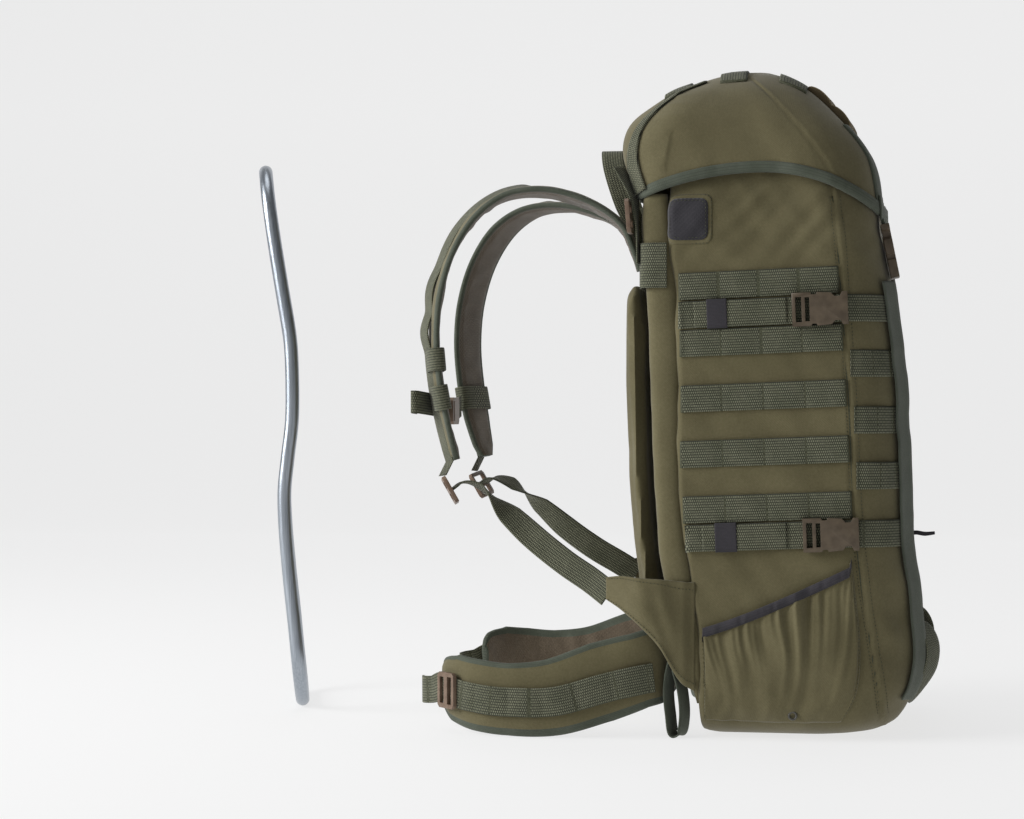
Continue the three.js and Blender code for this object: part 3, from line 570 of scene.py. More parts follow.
def ribbed_webbing(name, gap, yarn, along_pitch, across_pitch, roughness=0.8, bump=0.6):
    """Webbing or tape: rows of light yarn with dark gaps, laid out along the piece's UV map."""
    material, shader = blank(name, roughness)
    shader.inputs["Sheen Weight"].default_value = 0.1
    place = tuned(material, "ShaderNodeTexCoord")
    rows = tuned(
        material, "ShaderNodeTexBrick", offset=0.5, Scale=1000.0, Brick_Width=along_pitch,
        Row_Height=across_pitch, Mortar_Size=across_pitch * 0.20, Mortar_Smooth=0.7,
        Color1=(*yarn, 1), Color2=(*[value * 0.84 for value in yarn], 1), Mortar=(*gap, 1))
    wear = tuned(material, "ShaderNodeTexNoise", Scale=45.0, Detail=4.0)
    shade = ramp(material, [(0.3, (0.72, 0.74, 0.70)), (0.7, (1.0, 1.0, 1.0))])
    mix = tuned(material, "ShaderNodeMix", data_type="RGBA", blend_type="MULTIPLY", Factor=1.0)
    relief = tuned(material, "ShaderNodeBump", invert=True, Distance=0.0005, Strength=bump)
    joined(
        material,
        (place, "UV", rows, "Vector"),
        (place, "Object", wear, "Vector"),
        (wear, "Fac", shade, "Fac"),
        (rows, "Color", mix, 6),
        (shade, "Color", mix, 7),
        (mix, 2, shader, "Base Color"),
        (rows, "Fac", relief, "Height"),
        (relief, "Normal", shader, "Normal"),
    )
    return material


binding = ribbed_webbing("binding_tape", (0.066, 0.076, 0.056), (0.108, 0.122, 0.092), 1.1, 1.5, bump=0.3)
hem_tape_wall = 0.5
hem_tape_lines = [(1.3, 9.5), (1.9, 8.0), (2.0, 2.0), (1.2, -0.7), (-1.2, -1.2), (-3.4, 0.5), (-3.6, 8.0)]


def hem_tape_place(u, v):
    index, along = ring_stop(u)
    out, rise = hem_tape_lines[round(v * (len(hem_tape_lines) - 1))]
    spot = hood_skin(0.0, along, out)
    return spot + Vector((0, 0, rise)), (index * column_step, v * 20)


hem_tape = woven_grid(
    "lid_hem_tape", len(ring_stops), len(hem_tape_lines) - 1, hem_tape_place, binding, wrap=True)
shelled(hem_tape, hem_tape_wall)
belongs(hem_tape, "webbing")

# Edge rolls: padded tubes of cloth down both back corners, thinner towards the base, each with a
# sewn seam along its back.
roll_middle = 136
roll_half = 13
roll_faces = [
    (0.060, -0.325), (0.110, -0.352), (0.220, -0.421), (0.283, -0.452), (0.350, -0.473),
    (0.532, -0.498), (0.742, -0.515), (0.850, -0.535), (0.925, -0.549), (0.950, -0.547),
]
roll_foot = 0.060
roll_rise = 0.888
roll_into_bag = 4
roll_rows = 120
roll_sides = 28


both_sides = [(1, "left"), (-1, "right")]


def squarish(value, power):
    """A sine or cosine pushed out towards 1 and -1, which makes a round section squarer."""
    return math.copysign(abs(value) ** power, value)


def roll_place(side):
    def place(u, v):
        share = roll_foot + roll_rise * v
        z = share * bag_height
        back = read_smooth(roll_faces, share)[0] * bag_depth
        front = read_smooth(bag_sections, share)[0] * bag_depth + roll_into_bag
        end = min(1, 12 * v + 0.35, 1 - 0.3 * (1 - bump_at(v - 0.90, 0.12)) * (v > 0.90))
        angle = u * 2 * math.pi
        across, deep = squarish(math.cos(angle), 0.75), squarish(math.sin(angle), 0.75)
        soft = 0.7 * ripple(z / 26, 3 * side, across) * (1 if deep < 0 else 0)
        x = (front + back) / 2 + deep * (front - back) / 2 * end + soft
        y = side * (roll_middle - across * (roll_half - 0.4 * bump_at(u - 0.75, 0.04)) * end)
        return (x, y, z), (u * 80, z)
    return place


for side, side_name in both_sides:
    place = roll_place(-side)
    roll = woven_grid(f"roll_{side_name}", roll_sides, roll_rows, place, olive_cloth, wrap=True, ends=True)
    belongs(roll, "olive_cloth", f"edge_roll_{side_name}")

# Back pad: a long foam cushion in olive cloth, hung clear of the bag so that the tube frame slides
# behind it. It is blown up as cloth and then pressed in along two sewn channels.
pad_swell = 3.5
pad_voxel = 0.005
pad_cloth_frames = 16
pad_face_x = -0.12


def smooth_copy(node, name):
    """A piece with a merged copy of a CAD node's mesh."""
    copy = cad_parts[node].copy()
    copy.data = copy.data.copy()
    copy.animation_data_clear()
    copy.name = name
    for key in list(copy.keys()):
        del copy[key]
    bpy.context.scene.collection.objects.link(copy)
    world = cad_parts[node].matrix_world.copy()
    copy.parent = None
    copy.data.transform(world)
    copy.matrix_world = Matrix.Identity(4)
    copy.hide_render = False
    closed_up(copy, 0.00001)
    copy.data.materials.clear()
    return copy


cushion = smooth_copy("back_pad", "back_cushion")
cushion.data.materials.append(olive_cloth)
cushion_mesh = cushion.modifiers.new("remesh", "REMESH")
cushion_mesh.voxel_size = pad_voxel
bpy.ops.object.modifier_apply(modifier="remesh")
before = [corner.co.copy() for corner in cushion.data.vertices]
blown = cushion.modifiers.new("blown", "CLOTH")
blown.settings.use_pressure = True
blown.settings.uniform_pressure_force = 4
blown.settings.effector_weights.gravity = 0
blown.settings.quality = 5
for cloth_frame in range(1, pad_cloth_frames + 1):
    bpy.context.scene.frame_set(cloth_frame)
swollen = cushion.evaluated_get(bpy.context.evaluated_depsgraph_get()).data
after = [corner.co.copy() for corner in swollen.vertices]
cushion.modifiers.remove(blown)
bpy.context.scene.frame_set(1)
for corner, old, new in zip(cushion.data.vertices, before, after):
    move = new - old
    move.length = min(move.length, pad_swell * mm)
    corner.co = old + move
for corner in cushion.data.vertices:
    y = corner.co.y / mm
    channel = bump_at(abs(y) - 42, 9) + 0.6 * bump_at(abs(y) - 108, 6)
    corner.co.x += 2.6 * mm * channel * (1 if corner.co.x < pad_face_x else 0)
cushion_round = cushion.modifiers.new("round", "SUBSURF")
cushion_round.levels = 1
cushion_round.render_levels = 1
bpy.ops.object.modifier_apply(modifier="round")
bpy.ops.object.shade_smooth()
belongs(cushion, "olive_cloth", "back_pad")

# Yoke band: wide webbing sewn into both side seams and carried round the rolls. The shoulder pads
# and the haul loop are sewn to it.
webbing = ribbed_webbing("webbing", (0.018, 0.020, 0.012), (0.225, 0.228, 0.152), 1.75, 2.5)
web_width = 25
web_thick = 1.6


def centripetal(points, spot):
    """A point of the smooth curve that passes through all the points. spot counts whole points."""
    i = min(int(spot), len(points) - 2)
    t = spot - i
    p1, p2 = points[i], points[i + 1]
    p0 = points[i - 1] if i > 0 else p1 * 2 - p2
    p3 = points[i + 2] if i + 2 < len(points) else p2 * 2 - p1
    d0, d1, d2 = [max((b - a).length, 1e-6) ** 0.5 for a, b in ((p0, p1), (p1, p2), (p2, p3))]
    m1 = ((p1 - p0) / d0 - (p2 - p0) / (d0 + d1) + (p2 - p1) / d1) * d1
    m2 = ((p2 - p1) / d1 - (p3 - p1) / (d1 + d2) + (p3 - p2) / d2) * d1
    return (p1 * (2 * t ** 3 - 3 * t ** 2 + 1) + m1 * (t ** 3 - 2 * t ** 2 + t)
            + p2 * (3 * t ** 2 - 2 * t ** 3) + m2 * (t ** 3 - t ** 2))


def route(keys, steps):
    """Stations along a smooth path. A key is a place, a width direction and, if given, a width."""
    points = [Vector(key[0]) for key in keys]
    spans = len(keys) - 1
    path = []
    length = 0.0
    for i in range(steps + 1):
        spot = spans * i / steps
        at = centripetal(points, spot)
        ahead = centripetal(points, min(spot + 0.01, spans)) - centripetal(points, max(spot - 0.01, 0))
        ahead.normalize()
        k = min(int(spot), spans - 1)
        wide = Vector(keys[k][1]).lerp(Vector(keys[k + 1][1]), spot - k)
        wide = (wide - ahead * wide.dot(ahead)).normalized()
        width = web_width
        if len(keys[k]) > 2:
            width = keys[k][2] + (keys[k + 1][2] - keys[k][2]) * (spot - k)
        if path:
            length += (at - path[-1]["at"]).length
        path.append({"at": at, "wide": wide, "thick": ahead.cross(wide), "width": width, "length": length})
    return path


# Across a flat strap, as shares of its half width and half thickness, from one edge round to it.
strap_face = (
    [(1.0, 0.35), (0.965, 1.0)] + [(0.93 - 0.31 * k, 1.0) for k in range(1, 6)]
    + [(-0.965, 1.0), (-1.0, 0.35)]
)
strap_profile = strap_face + [(-w, -t) for w, t in strap_face]


def swept(name, path, depth, material, *nodes, slot="webbing", profile=strap_profile,
          lift=None, extra=(), paint=None, shape=None):
    """A finished strap, tape or long pad, swept along stations, that stands for the named solids.

    lift(station, w, t) gives an outward shift along the thickness, and shape(station, w, t) gives
    the half width and half depth that the profile's shares are taken of.
    """
    count = len(profile)

    def place(u, v):
        index = round(u * count) % count
        w, t = profile[index]
        station = path[round(v * (len(path) - 1))]
        half_wide, half_deep = station["width"] / 2, depth / 2
        if shape:
            half_wide, half_deep = shape(station, w, t)
        shift = lift(station, w, t) if lift else 0.0
        spot = station["at"] + station["wide"] * w * half_wide + station["thick"] * (t * half_deep + shift)
        return spot, (station["length"], w * half_wide + (t + 1) * 0.3)

    piece = woven_grid(name, count, len(path) - 1, place, material, wrap=True, ends=True, paint=paint)
    for more in extra:
        piece.data.materials.append(more)
    belongs(piece, slot, *nodes)
    return piece


yoke_height = 441
yoke_back = -0.535 * bag_depth - 2.1
yoke_side = bag_width / 2 + 1.25
yoke_width = 42
upright = (0, 0, 1)
yoke_half = [
    (-97, -yoke_side), (-104, -yoke_side - 0.3), (yoke_back + 10, -yoke_side),
    (yoke_back + 3, -yoke_side + 3), (yoke_back, -yoke_side + 10), (yoke_back, -100), (yoke_back, -50),
]
yoke_turn = yoke_half + [(yoke_back, 0)] + [(x, -y) for x, y in reversed(yoke_half)]
yoke_path = route([((x, y, yoke_height), upright, yoke_width) for x, y in yoke_turn], 90)
swept("yoke_band_webbing", yoke_path, web_thick, webbing, "yoke_band")

# Frame: one loop of steel tube, bent to the curve of a back and brushed to a satin finish. It
# stands beside the bag, as it does when it is taken out of its sleeve.
tube_diameter = 14
frame_height = 560
frame_width = 210
frame_corner = 58
frame_x = -517
frame_y = 65
frame_turn = math.radians(14.7)
tube_sides = 32
frame_curve = [
    (0.000, 0.030), (0.080, 0.021), (0.150, 0.014), (0.240, 0.004), (0.330, -0.004), (0.400, -0.006),
    (0.460, 0.000), (0.530, 0.008), (0.620, 0.008), (0.680, 0.004), (0.770, -0.011), (0.860, -0.026),
    (0.930, -0.036), (1.000, -0.043),
]

steel, steel_shader = blank("steel_tube", 0.3, 0.92)
steel_place = tuned(steel, "ShaderNodeTexCoord")
steel_stretch = tuned(steel, "ShaderNodeMapping", Scale=(900.0, 900.0, 14.0))
steel_grain = tuned(steel, "ShaderNodeTexNoise", Scale=1.0, Detail=3.0)
steel_tone = ramp(steel, [(0.3, (0.30, 0.335, 0.375)), (0.7, (0.42, 0.455, 0.50))])
steel_gloss = tuned(steel, "ShaderNodeMapRange", To_Min=0.24, To_Max=0.42)
steel_relief = tuned(steel, "ShaderNodeBump", Distance=0.00008)
joined(
    steel,
    (steel_place, "Object", steel_stretch, "Vector"),
    (steel_stretch, "Vector", steel_grain, "Vector"),
    (steel_grain, "Fac", steel_tone, "Fac"),
    (steel_tone, "Color", steel_shader, "Base Color"),
    (steel_grain, "Fac", steel_gloss, "Value"),
    (steel_gloss, "Result", steel_shader, "Roughness"),
    (steel_grain, "Fac", steel_relief, "Height"),
    (steel_relief, "Normal", steel_shader, "Normal"),
)


def frame_point(turn):
    """A point of the tube's middle line. turn runs from 0 to 1 round the loop."""
    half = frame_width / 2 - tube_diameter / 2
    low, high = tube_diameter / 2, frame_height - tube_diameter / 2
    straight_across, straight_up = 2 * (half - frame_corner), high - low - 2 * frame_corner
    quarter = frame_corner * math.pi / 2
    runs = [straight_across, quarter, straight_up, quarter] * 2
    left = turn * sum(runs)
    corner_x = half - frame_corner
    for k, run in enumerate(runs):
        if left <= run:
            break
        left -= run
    share = left / run
    flip = 1 if k < 4 else -1
    if k % 4 == 0:
        across, rise = -corner_x + left, -straight_up / 2 - frame_corner
    elif k % 4 == 1:
        across = corner_x + frame_corner * math.sin(share * math.pi / 2)
        rise = -straight_up / 2 - frame_corner * math.cos(share * math.pi / 2)
    elif k % 4 == 2:
        across, rise = half, -straight_up / 2 + left
    else:
        across = corner_x + frame_corner * math.cos(share * math.pi / 2)
        rise = straight_up / 2 + frame_corner * math.sin(share * math.pi / 2)
    across, z = flip * across, (low + high) / 2 + flip * rise
    x = frame_x + read_smooth(frame_curve, z / frame_height)[0] * frame_height
    return Vector((x - across * math.sin(frame_turn), frame_y + across * math.cos(frame_turn), z))


tube_steps = 260


def tube_place(u, v):
    at = frame_point(v % 1.0)
    ahead = (frame_point((v + 0.0015) % 1.0) - frame_point((v - 0.0015) % 1.0)).normalized()
    aside = Vector((math.cos(frame_turn), math.sin(frame_turn), 0))
    first = (aside - ahead * aside.dot(ahead)).normalized()
    second = ahead.cross(first)
    angle = u * 2 * math.pi
    ring = first * math.cos(angle) + second * math.sin(angle)
    return at + ring * tube_diameter / 2, (v * 1500, u * 44)


tube = woven_grid("steel_frame", tube_sides, tube_steps, tube_place, steel, wrap=True)
belongs(tube, "steel_tube", "frame_tube")

# Side webbing: five rows on each side of the bag, stitched across at even steps so that each cell
# stands a little proud and other kit can be threaded behind it.
row_start = -86
row_out = 1.2
row_cells = 4
row_bulge = 1.1
row_step = 1.6
row_end_gap = 2.5
round_back_corner = (4.55, 4.8)
tack_half = 1.1
thread, thread_shader = blank("thread", 0.7)
thread_noise = tuned(thread, "ShaderNodeTexNoise", Scale=900.0)
thread_tone = ramp(thread, [(0.35, (0.040, 0.042, 0.024)), (0.65, (0.085, 0.088, 0.052))])
thread_place = tuned(thread, "ShaderNodeTexCoord")
joined(
    thread,
    (thread_place, "Object", thread_noise, "Vector"),
    (thread_noise, "Fac", thread_tone, "Fac"),
    (thread_tone, "Color", thread_shader, "Base Color"),
)


def wall_stations(spots, out, width=web_width):
    """Stations of a strap that lies on the bag's cloth, through spots of height and along."""
    path = []
    for i, (z, along) in enumerate(spots):
        at = skin(z, along, out)
        normal = wall_normal(z, along)
        near, far = spots[max(i - 1, 0)], spots[min(i + 1, len(spots) - 1)]
        ahead = (wall(*far) - wall(*near)).normalized()
        wide = normal.cross(ahead).normalized()
        length = path[-1]["length"] + (at - path[-1]["at"]).length if path else 0.0
        path.append({"at": at, "wide": wide, "thick": normal, "width": width, "length": length})
    return path


def side_spots(height, start, end, side, step=row_step):
    """Places of a strap along the side, from round the back corner where it starts behind it."""
    back, front, half, front_round, back_round, swell = read_smooth(
        bag_sections, tilted(start, height) / bag_height)
    flat_start = (back + back_round) * bag_depth
    spots = []
    if start < flat_start:
        spots = [(tilted(start, height), side * along) for along in round_back_corner]
        start = flat_start + 0.5
    count = round((end - start) / step)
    xs = [start + (end - start) * k / count for k in range(count + 1)]
    return spots + [(tilted(x, height), side * side_along(x, tilted(x, height))) for x in xs]


def cells(path, pitch, bulge, first=0.0):
    """For swept: the lift of each cell between its bar tacks, and the faces that the tacks cover."""
    total = path[-1]["length"]

    def lift(station, w, t):
        share = ((station["length"] - first) / pitch) % 1.0
        return bulge * math.sin(math.pi * share) ** 0.6 * (1 if t > 0 else 0.3)

    def paint(u, v):
        share = ((v * total - first) / pitch) % 1.0
        return 1 if min(share, 1 - share) * pitch < tack_half else 0

    return {"lift": lift, "paint": paint, "extra": [thread]}


for side, side_name in both_sides:
    for number, height in enumerate(row_heights, 1):
        row_end = seam_place(height) - row_end_gap
        path = wall_stations(side_spots(height, row_start, row_end, side), row_out)
        row_side = f"{number}_{side_name}"
        swept(f"side_row_{row_side}", path, web_thick, webbing, f"side_webbing_{row_side}",
              **cells(path, path[-1]["length"] / row_cells, row_bulge))

# Side straps and buckles: compression webbing over each side, through a side release buckle and
# round the front corner. A dark elastic keeper holds the spare end of each.
elastic = ribbed_webbing("elastic_tape", (0.030, 0.027, 0.033), (0.056, 0.051, 0.060), 0.9, 1.3, bump=0.3)


def moulded_plastic(name, dark, light, roughness=0.42):
    """Moulded plastic with a faint mottle and a fine grain."""
    material, shader = blank(name, roughness)
    place = tuned(material, "ShaderNodeTexCoord")
    mottle = tuned(material, "ShaderNodeTexNoise", Scale=120.0, Detail=5.0)
    tone = ramp(material, [(0.3, dark), (0.7, light)])
    grain = tuned(material, "ShaderNodeTexNoise", Scale=1400.0, Detail=2.0)
    relief = tuned(material, "ShaderNodeBump", Distance=0.00012, Strength=0.35)
    joined(
        material,
        (place, "Object", mottle, "Vector"),
        (place, "Object", grain, "Vector"),
        (mottle, "Fac", tone, "Fac"),
        (tone, "Color", shader, "Base Color"),
        (grain, "Fac", relief, "Height"),
        (relief, "Normal", shader, "Normal"),
    )
    return material


buckle_brown = moulded_plastic("buckle_brown", (0.070, 0.052, 0.034), (0.110, 0.084, 0.056))
flat_within = math.radians(2)
sharp_edge = math.radians(40)


def moulded(node, name, material, rounding=0.9):
    """A buckle or slider: its solid with rounded edges and smooth faces."""
    piece = smooth_copy(node, name)
    piece.data.materials.append(material)
    bpy.ops.object.mode_set(mode="EDIT")
    bpy.ops.mesh.select_all(action="SELECT")
    bpy.ops.mesh.dissolve_limited(angle_limit=flat_within)
    bpy.ops.object.mode_set(mode="OBJECT")
    edges = piece.modifiers.new("edges", "BEVEL")
    edges.width = rounding * mm
    edges.segments = 3
    edges.limit_method = "ANGLE"
    edges.angle_limit = sharp_edge
    bpy.ops.object.modifier_apply(modifier="edges")
    bpy.ops.object.shade_smooth_by_angle(angle=sharp_edge)
    belongs(piece, "buckle_plastic", node)


strap_out = 1.9
strap_cell = 38.5
tail_out = 3.4
tail_thick = 1.4
keeper_out = 3.1
keeper_depth = 5.2
corner_alongs = [6 + k / 10 for k in range(1, 26)]
# Each strap's name and height, and where its keeper starts and ends.
side_straps = [("upper", strap_heights[0], -59.6, -41.0), ("lower", strap_heights[1], -52.0, -32.0)]
for side, side_name in both_sides:
    for strap_name, height, keeper_start, keeper_end in side_straps:
        strap_side = f"{strap_name}_{side_name}"
        spots = side_spots(height, row_start - 4, 62, side)
        spots += [(tilted(72, height), side * along) for along in corner_alongs]
        path = wall_stations(spots, strap_out)
        swept(f"side_strap_cloth_{strap_side}", path, web_thick, webbing, f"side_strap_{strap_side}",
              **cells(path, strap_cell, 0.9, first=19))
        keeper_spots = side_spots(height, keeper_start, keeper_end, side, 1.0)
        keeper_path = wall_stations(keeper_spots, keeper_out, web_width + 2.2)
        swept(f"strap_keeper_{strap_side}", keeper_path, keeper_depth, elastic, slot="dark_tape")
        tail_path = wall_stations(side_spots(height, keeper_start - 12, 14, side), tail_out, web_width - 0.6)
        swept(f"strap_tail_{strap_side}", tail_path, tail_thick, webbing,
              lift=lambda station, w, t: 1.3 * bump_at(station["length"] - 42, 22))
        moulded(f"side_buckle_{strap_side}", f"buckle_{strap_side}", buckle_brown)

# Front webbing and front straps: three rows across the front panel, and a vertical webbing down
# each front corner from the lid's buckles to the base, where it ends in a loop. A short elastic tie
# hangs beside the left one.
front_strap_top = 426
front_strap_foot = 34
front_strap_width = 31
front_strap_along = 9.0
front_strap_out = 2.6
front_strap_step = 2.5
for number, height in enumerate(front_row_heights, 1):
    first = side_along(seam_place(height) + 3, height)
    alongs = [first + (10 - first) * k / 90 for k in range(90)] + [10 + k / 16 for k in range(17)]
    alongs += [-along for along in reversed(alongs[:-1])]
    path = wall_stations([(height, along) for along in alongs], row_out)
    swept(f"front_row_{number}", path, web_thick, webbing, **cells(path, 38.0, row_bulge, first=2))

front_strap_steps = int((front_strap_top - front_strap_foot) / front_strap_step)
front_strap_heights = [front_strap_top - k * front_strap_step for k in range(front_strap_steps + 1)]
front_loop_y = -92
front_loop_points = [
    (126, 108), (140, 102), (148, 86), (146, 64), (134, 44), (123, 32), (128, 48), (134, 68), (131, 90),
]
for side, side_name in both_sides:
    path = wall_stations(
        [(z, side * front_strap_along) for z in front_strap_heights], front_strap_out, front_strap_width)
    swept(f"front_webbing_{side_name}", path, web_thick, binding, f"front_strap_{side_name}",
          lift=lambda station, w, t: -1.6 * bump_at(station["length"] - 392, 60) + 0.5 * w * w)
    loop_keys = [((x, side * front_loop_y, z), (0.5 * side, 0.87, 0)) for x, z in front_loop_points]
    swept(f"front_loop_{side_name}", route(loop_keys, 48), web_thick, webbing)
tie_keys = [((122, -92, 188), (0, 0.2, 1), 4), ((132, -95, 191), upright, 4),
            ((141, -97, 190), upright, 4), ((150, -98, 191), upright, 3)]
swept("front_tie", route(tie_keys, 18), 1.6, elastic, slot="dark_tape")

# Lid webbing: three rows across the top of the lid, and a strap down its front at each side that
# ends in a side release buckle over the front strap.
lid_row_places = [(-89, 116), (-37, 117), (18, 114)]
above_lid = 800
before_lid = 400
downward = (0, 0, -1)


def touched(start, direction):
    """Where a line meets the lid, in millimetres, with the lid's outward direction."""
    spot, normal = lid.ray_cast(Vector(start) * mm, Vector(direction))[1:3]
    return spot / mm, normal


def draped(name, starts, direction, wide, width, depth, material, pitch=0, bulge=0.0):
    """A strap pressed onto the lid: every point of it is found by a line onto the cloth.

    starts run along the strap outside the lid. With a pitch it is tacked down in that many cells.
    Gives the middle of the strap at each start.
    """
    count = len(strap_profile)
    middles = [touched(start, direction)[0] for start in starts]
    lengths = [0.0]
    for near, far in zip(middles, middles[1:]):
        lengths.append(lengths[-1] + (far - near).length)
    cell = lengths[-1] / pitch if pitch else 1

    def place(u, v):
        w, t = strap_profile[round(u * count) % count]
        station = round(v * (len(starts) - 1))
        spot, normal = touched(Vector(starts[station]) + Vector(wide) * w * width / 2, direction)
        share = (lengths[station] / cell) % 1.0 if pitch else 0.0
        rise = (t + 1) * depth / 2 - 0.2
        if t > 0:
            rise += bulge * max(0.0, math.sin(math.pi * share)) ** 0.6
        return spot + normal * rise, (lengths[station], w * width / 2 + (t + 1) * 0.3)

    def paint(u, v):
        share = (v * lengths[-1] / cell) % 1.0
        return 1 if pitch and min(share, 1 - share) * cell < tack_half else 0

    piece = woven_grid(name, count, len(starts) - 1, place, material, wrap=True, ends=True, paint=paint)
    piece.data.materials.append(thread)
    belongs(piece, "webbing")
    return middles


for number, (x, half) in enumerate(lid_row_places, 1):
    starts = [(x, half * (k / 55 - 1), above_lid) for k in range(111)]
    draped(f"lid_row_{number}", starts, downward, (1, 0, 0), web_width, web_thick, webbing, 6, 1.6)

tan_tape = ribbed_webbing("tan_tape", (0.110, 0.082, 0.042), (0.330, 0.250, 0.135), 1.2, 1.6, bump=0.3)
tab_starts = [(34 + k * 1.6, -76 - k * 0.35, above_lid) for k in range(25)]
draped("lid_front_tab", tab_starts, downward, (0.3, 0.95, 0), 23, 3.4, tan_tape, 2, 4.2)
lid_buckle_y = -100
for side, side_name in both_sides:
    y = side * lid_buckle_y
    starts = [(before_lid, y - 6 * side, z) for z in range(572, 498, -2)]
    last = draped(f"lid_front_strap_{side_name}", starts, (-1, 0, 0), (0, 1, 0),
                  web_width, web_thick + 0.6, binding)[-1]
    keys = [(last + Vector((1.2, 0, 6)), (0.1, side, 0)), (last + Vector((2.4, 0, -4)), (0.1, side, 0)),
            ((101.5, y, 487), (0, side, 0)), ((103.5, y, 478), (0, side, 0))]
    swept(f"lid_strap_end_{side_name}", route(keys, 30), web_thick, binding)
    moulded(f"lid_buckle_{side_name}", f"lid_front_buckle_{side_name}", buckle_brown)

# Side patch: a rounded square of dark hook and loop tape on the left side, on a larger square of
# cloth that is stitched down all round.
patch_low, patch_high = (-95, 464), (-58.5, 503)
patch_margin = 4
stitch_length = 2.3
stitch_pitch = 3.4
stitch_width = 0.42
patch_tape = woven_cloth("patch_tape", (0.018, 0.017, 0.021), (0.027, 0.025, 0.030), (0.040, 0.037, 0.044),
                         weave_pitch=0.0018, sheen=0.35, bump=0.5)


def square_place(low, high, out, side):
    """A rounded square on the bag's side, between its lowest and highest corners."""
    middle = ((low[0] + high[0]) / 2, (low[1] + high[1]) / 2)
    half = ((high[0] - low[0]) / 2, (high[1] - low[1]) / 2)

    def place(u, v):
        a, b = 2 * u - 1, 2 * v - 1
        x = middle[0] + half[0] * a * (1 - 0.11 * b ** 8)
        z = middle[1] + half[1] * b * (1 - 0.11 * a ** 8)
        edge = max(abs(a), abs(b)) ** 10
        return skin(z, side * side_along(x, z), out - 0.5 * edge), (x, z)
    return place


def stitches(name, line):
    """Small thread spindles sunk along a line of (place, outward direction)."""
    corners, faces = [], []
    left = stitch_pitch / 2
    for (a, normal), after in zip(line, line[1:]):
        b = after[0]
        span = (b - a).length
        ahead = (b - a).normalized() if span > 0 else Vector((1, 0, 0))
        aside = normal.cross(ahead)
        while left < span:
            middle = a + ahead * left
            base = len(corners)
            half = stitch_length / 2
            corners += [middle - ahead * half - normal * 0.1, middle + ahead * half - normal * 0.1]
            corners += [middle + aside * stitch_width, middle - aside * stitch_width,
                        middle + normal * stitch_width * 1.1, middle - normal * stitch_width]
            for p, q in ((2, 4), (4, 3), (3, 5), (5, 2)):
                faces += [(base, base + p, base + q), (base + 1, base + q, base + p)]
            left += stitch_pitch
        left -= span
    mesh = bpy.data.meshes.new(name)
    mesh.from_pydata([corner * mm for corner in corners], [], faces)
    piece = bpy.data.objects.new(name, mesh)
    bpy.context.scene.collection.objects.link(piece)
    closed_up(piece)
    bpy.ops.object.shade_smooth()
    mesh.materials.append(thread)
    belongs(piece, "webbing")


def wall_line(spots, out):
    """A line for stitches on the bag's cloth, through spots of height and along."""
    return [(skin(z, along, out), wall_normal(z, along)) for z, along in spots]


backing_low = (patch_low[0] - 0.5, patch_low[1] - patch_margin)
backing_high = (patch_high[0] + patch_margin, patch_high[1] + patch_margin)
backing = woven_grid("patch_backing", 28, 28, square_place(backing_low, backing_high, 0.9, 1), olive_cloth)
patch = woven_grid("patch_square", 24, 24, square_place(patch_low, patch_high, 1.9, 1), patch_tape)
shelled(backing, 1.0)
belongs(backing, "olive_cloth")
shelled(patch, 1.4)
belongs(patch, "dark_tape", "side_patch")
patch_corner = 4
for name, grow, out in [("patch_stitches", -2.2, 2.0), ("backing_stitches", 3.0, 1.0)]:
    low_x, low_z = patch_low[0] - grow, patch_low[1] - grow
    high_x, high_z = patch_high[0] + grow, patch_high[1] + grow
    near_x, near_z = low_x + patch_corner, low_z + patch_corner
    far_x, far_z = high_x - patch_corner, high_z - patch_corner
    square = [(low_x, near_z), (low_x, far_z), (near_x, high_z), (far_x, high_z), (high_x, far_z),
              (high_x, near_z), (far_x, low_z), (near_x, low_z), (low_x, near_z)]
    stitches(name, wall_line([(z, side_along(x, z)) for x, z in square], out))

# Front seams: where each side panel meets the front one, the felled seam has a raised edge with a thin dark
# strip of thread colour in its groove as painted shade, and two rows of stitches, from the base to under the
# lid.


def beside_seam(side, offset):
    """Places down the front seam, at a distance in front of it."""
    return [(z, side * side_along(seam_place(z) + offset, z)) for z in range(24, 508, 4)]


for side, side_name in both_sides:
    # A thin strip of dark thread colour laid in the seam's groove: painted shade under the raised seam edge.
    seam_shadow_path = wall_stations(beside_seam(side, -0.9), 0.1, 1.3)
    swept(f"seam_shadow_strip_{side_name}", seam_shadow_path, 0.8, thread, slot="olive_cloth")
    for offset, seam_name in [(-3.5, "front_seam"), (6.5, "front_seam_second")]:
        stitches(f"{seam_name}_{side_name}", wall_line(beside_seam(side, offset), 0.35))

# Side pockets: gathered pouches on both sides, from the base to the front seam, drawn in along
# their slanted tops by a dark elastic band. A small eyelet drains each.
pocket_base = 18
pocket_front = 168
pocket_slant = 71
pocket_swell = 9
pocket_columns = 150
pocket_rows = 70
pocket_wall = 1.6
eyelet_across, eyelet_up = 0.62, 0.06


def pocket_top(across):
    return pocket_front - pocket_slant + pocket_slant * across ** 1.25


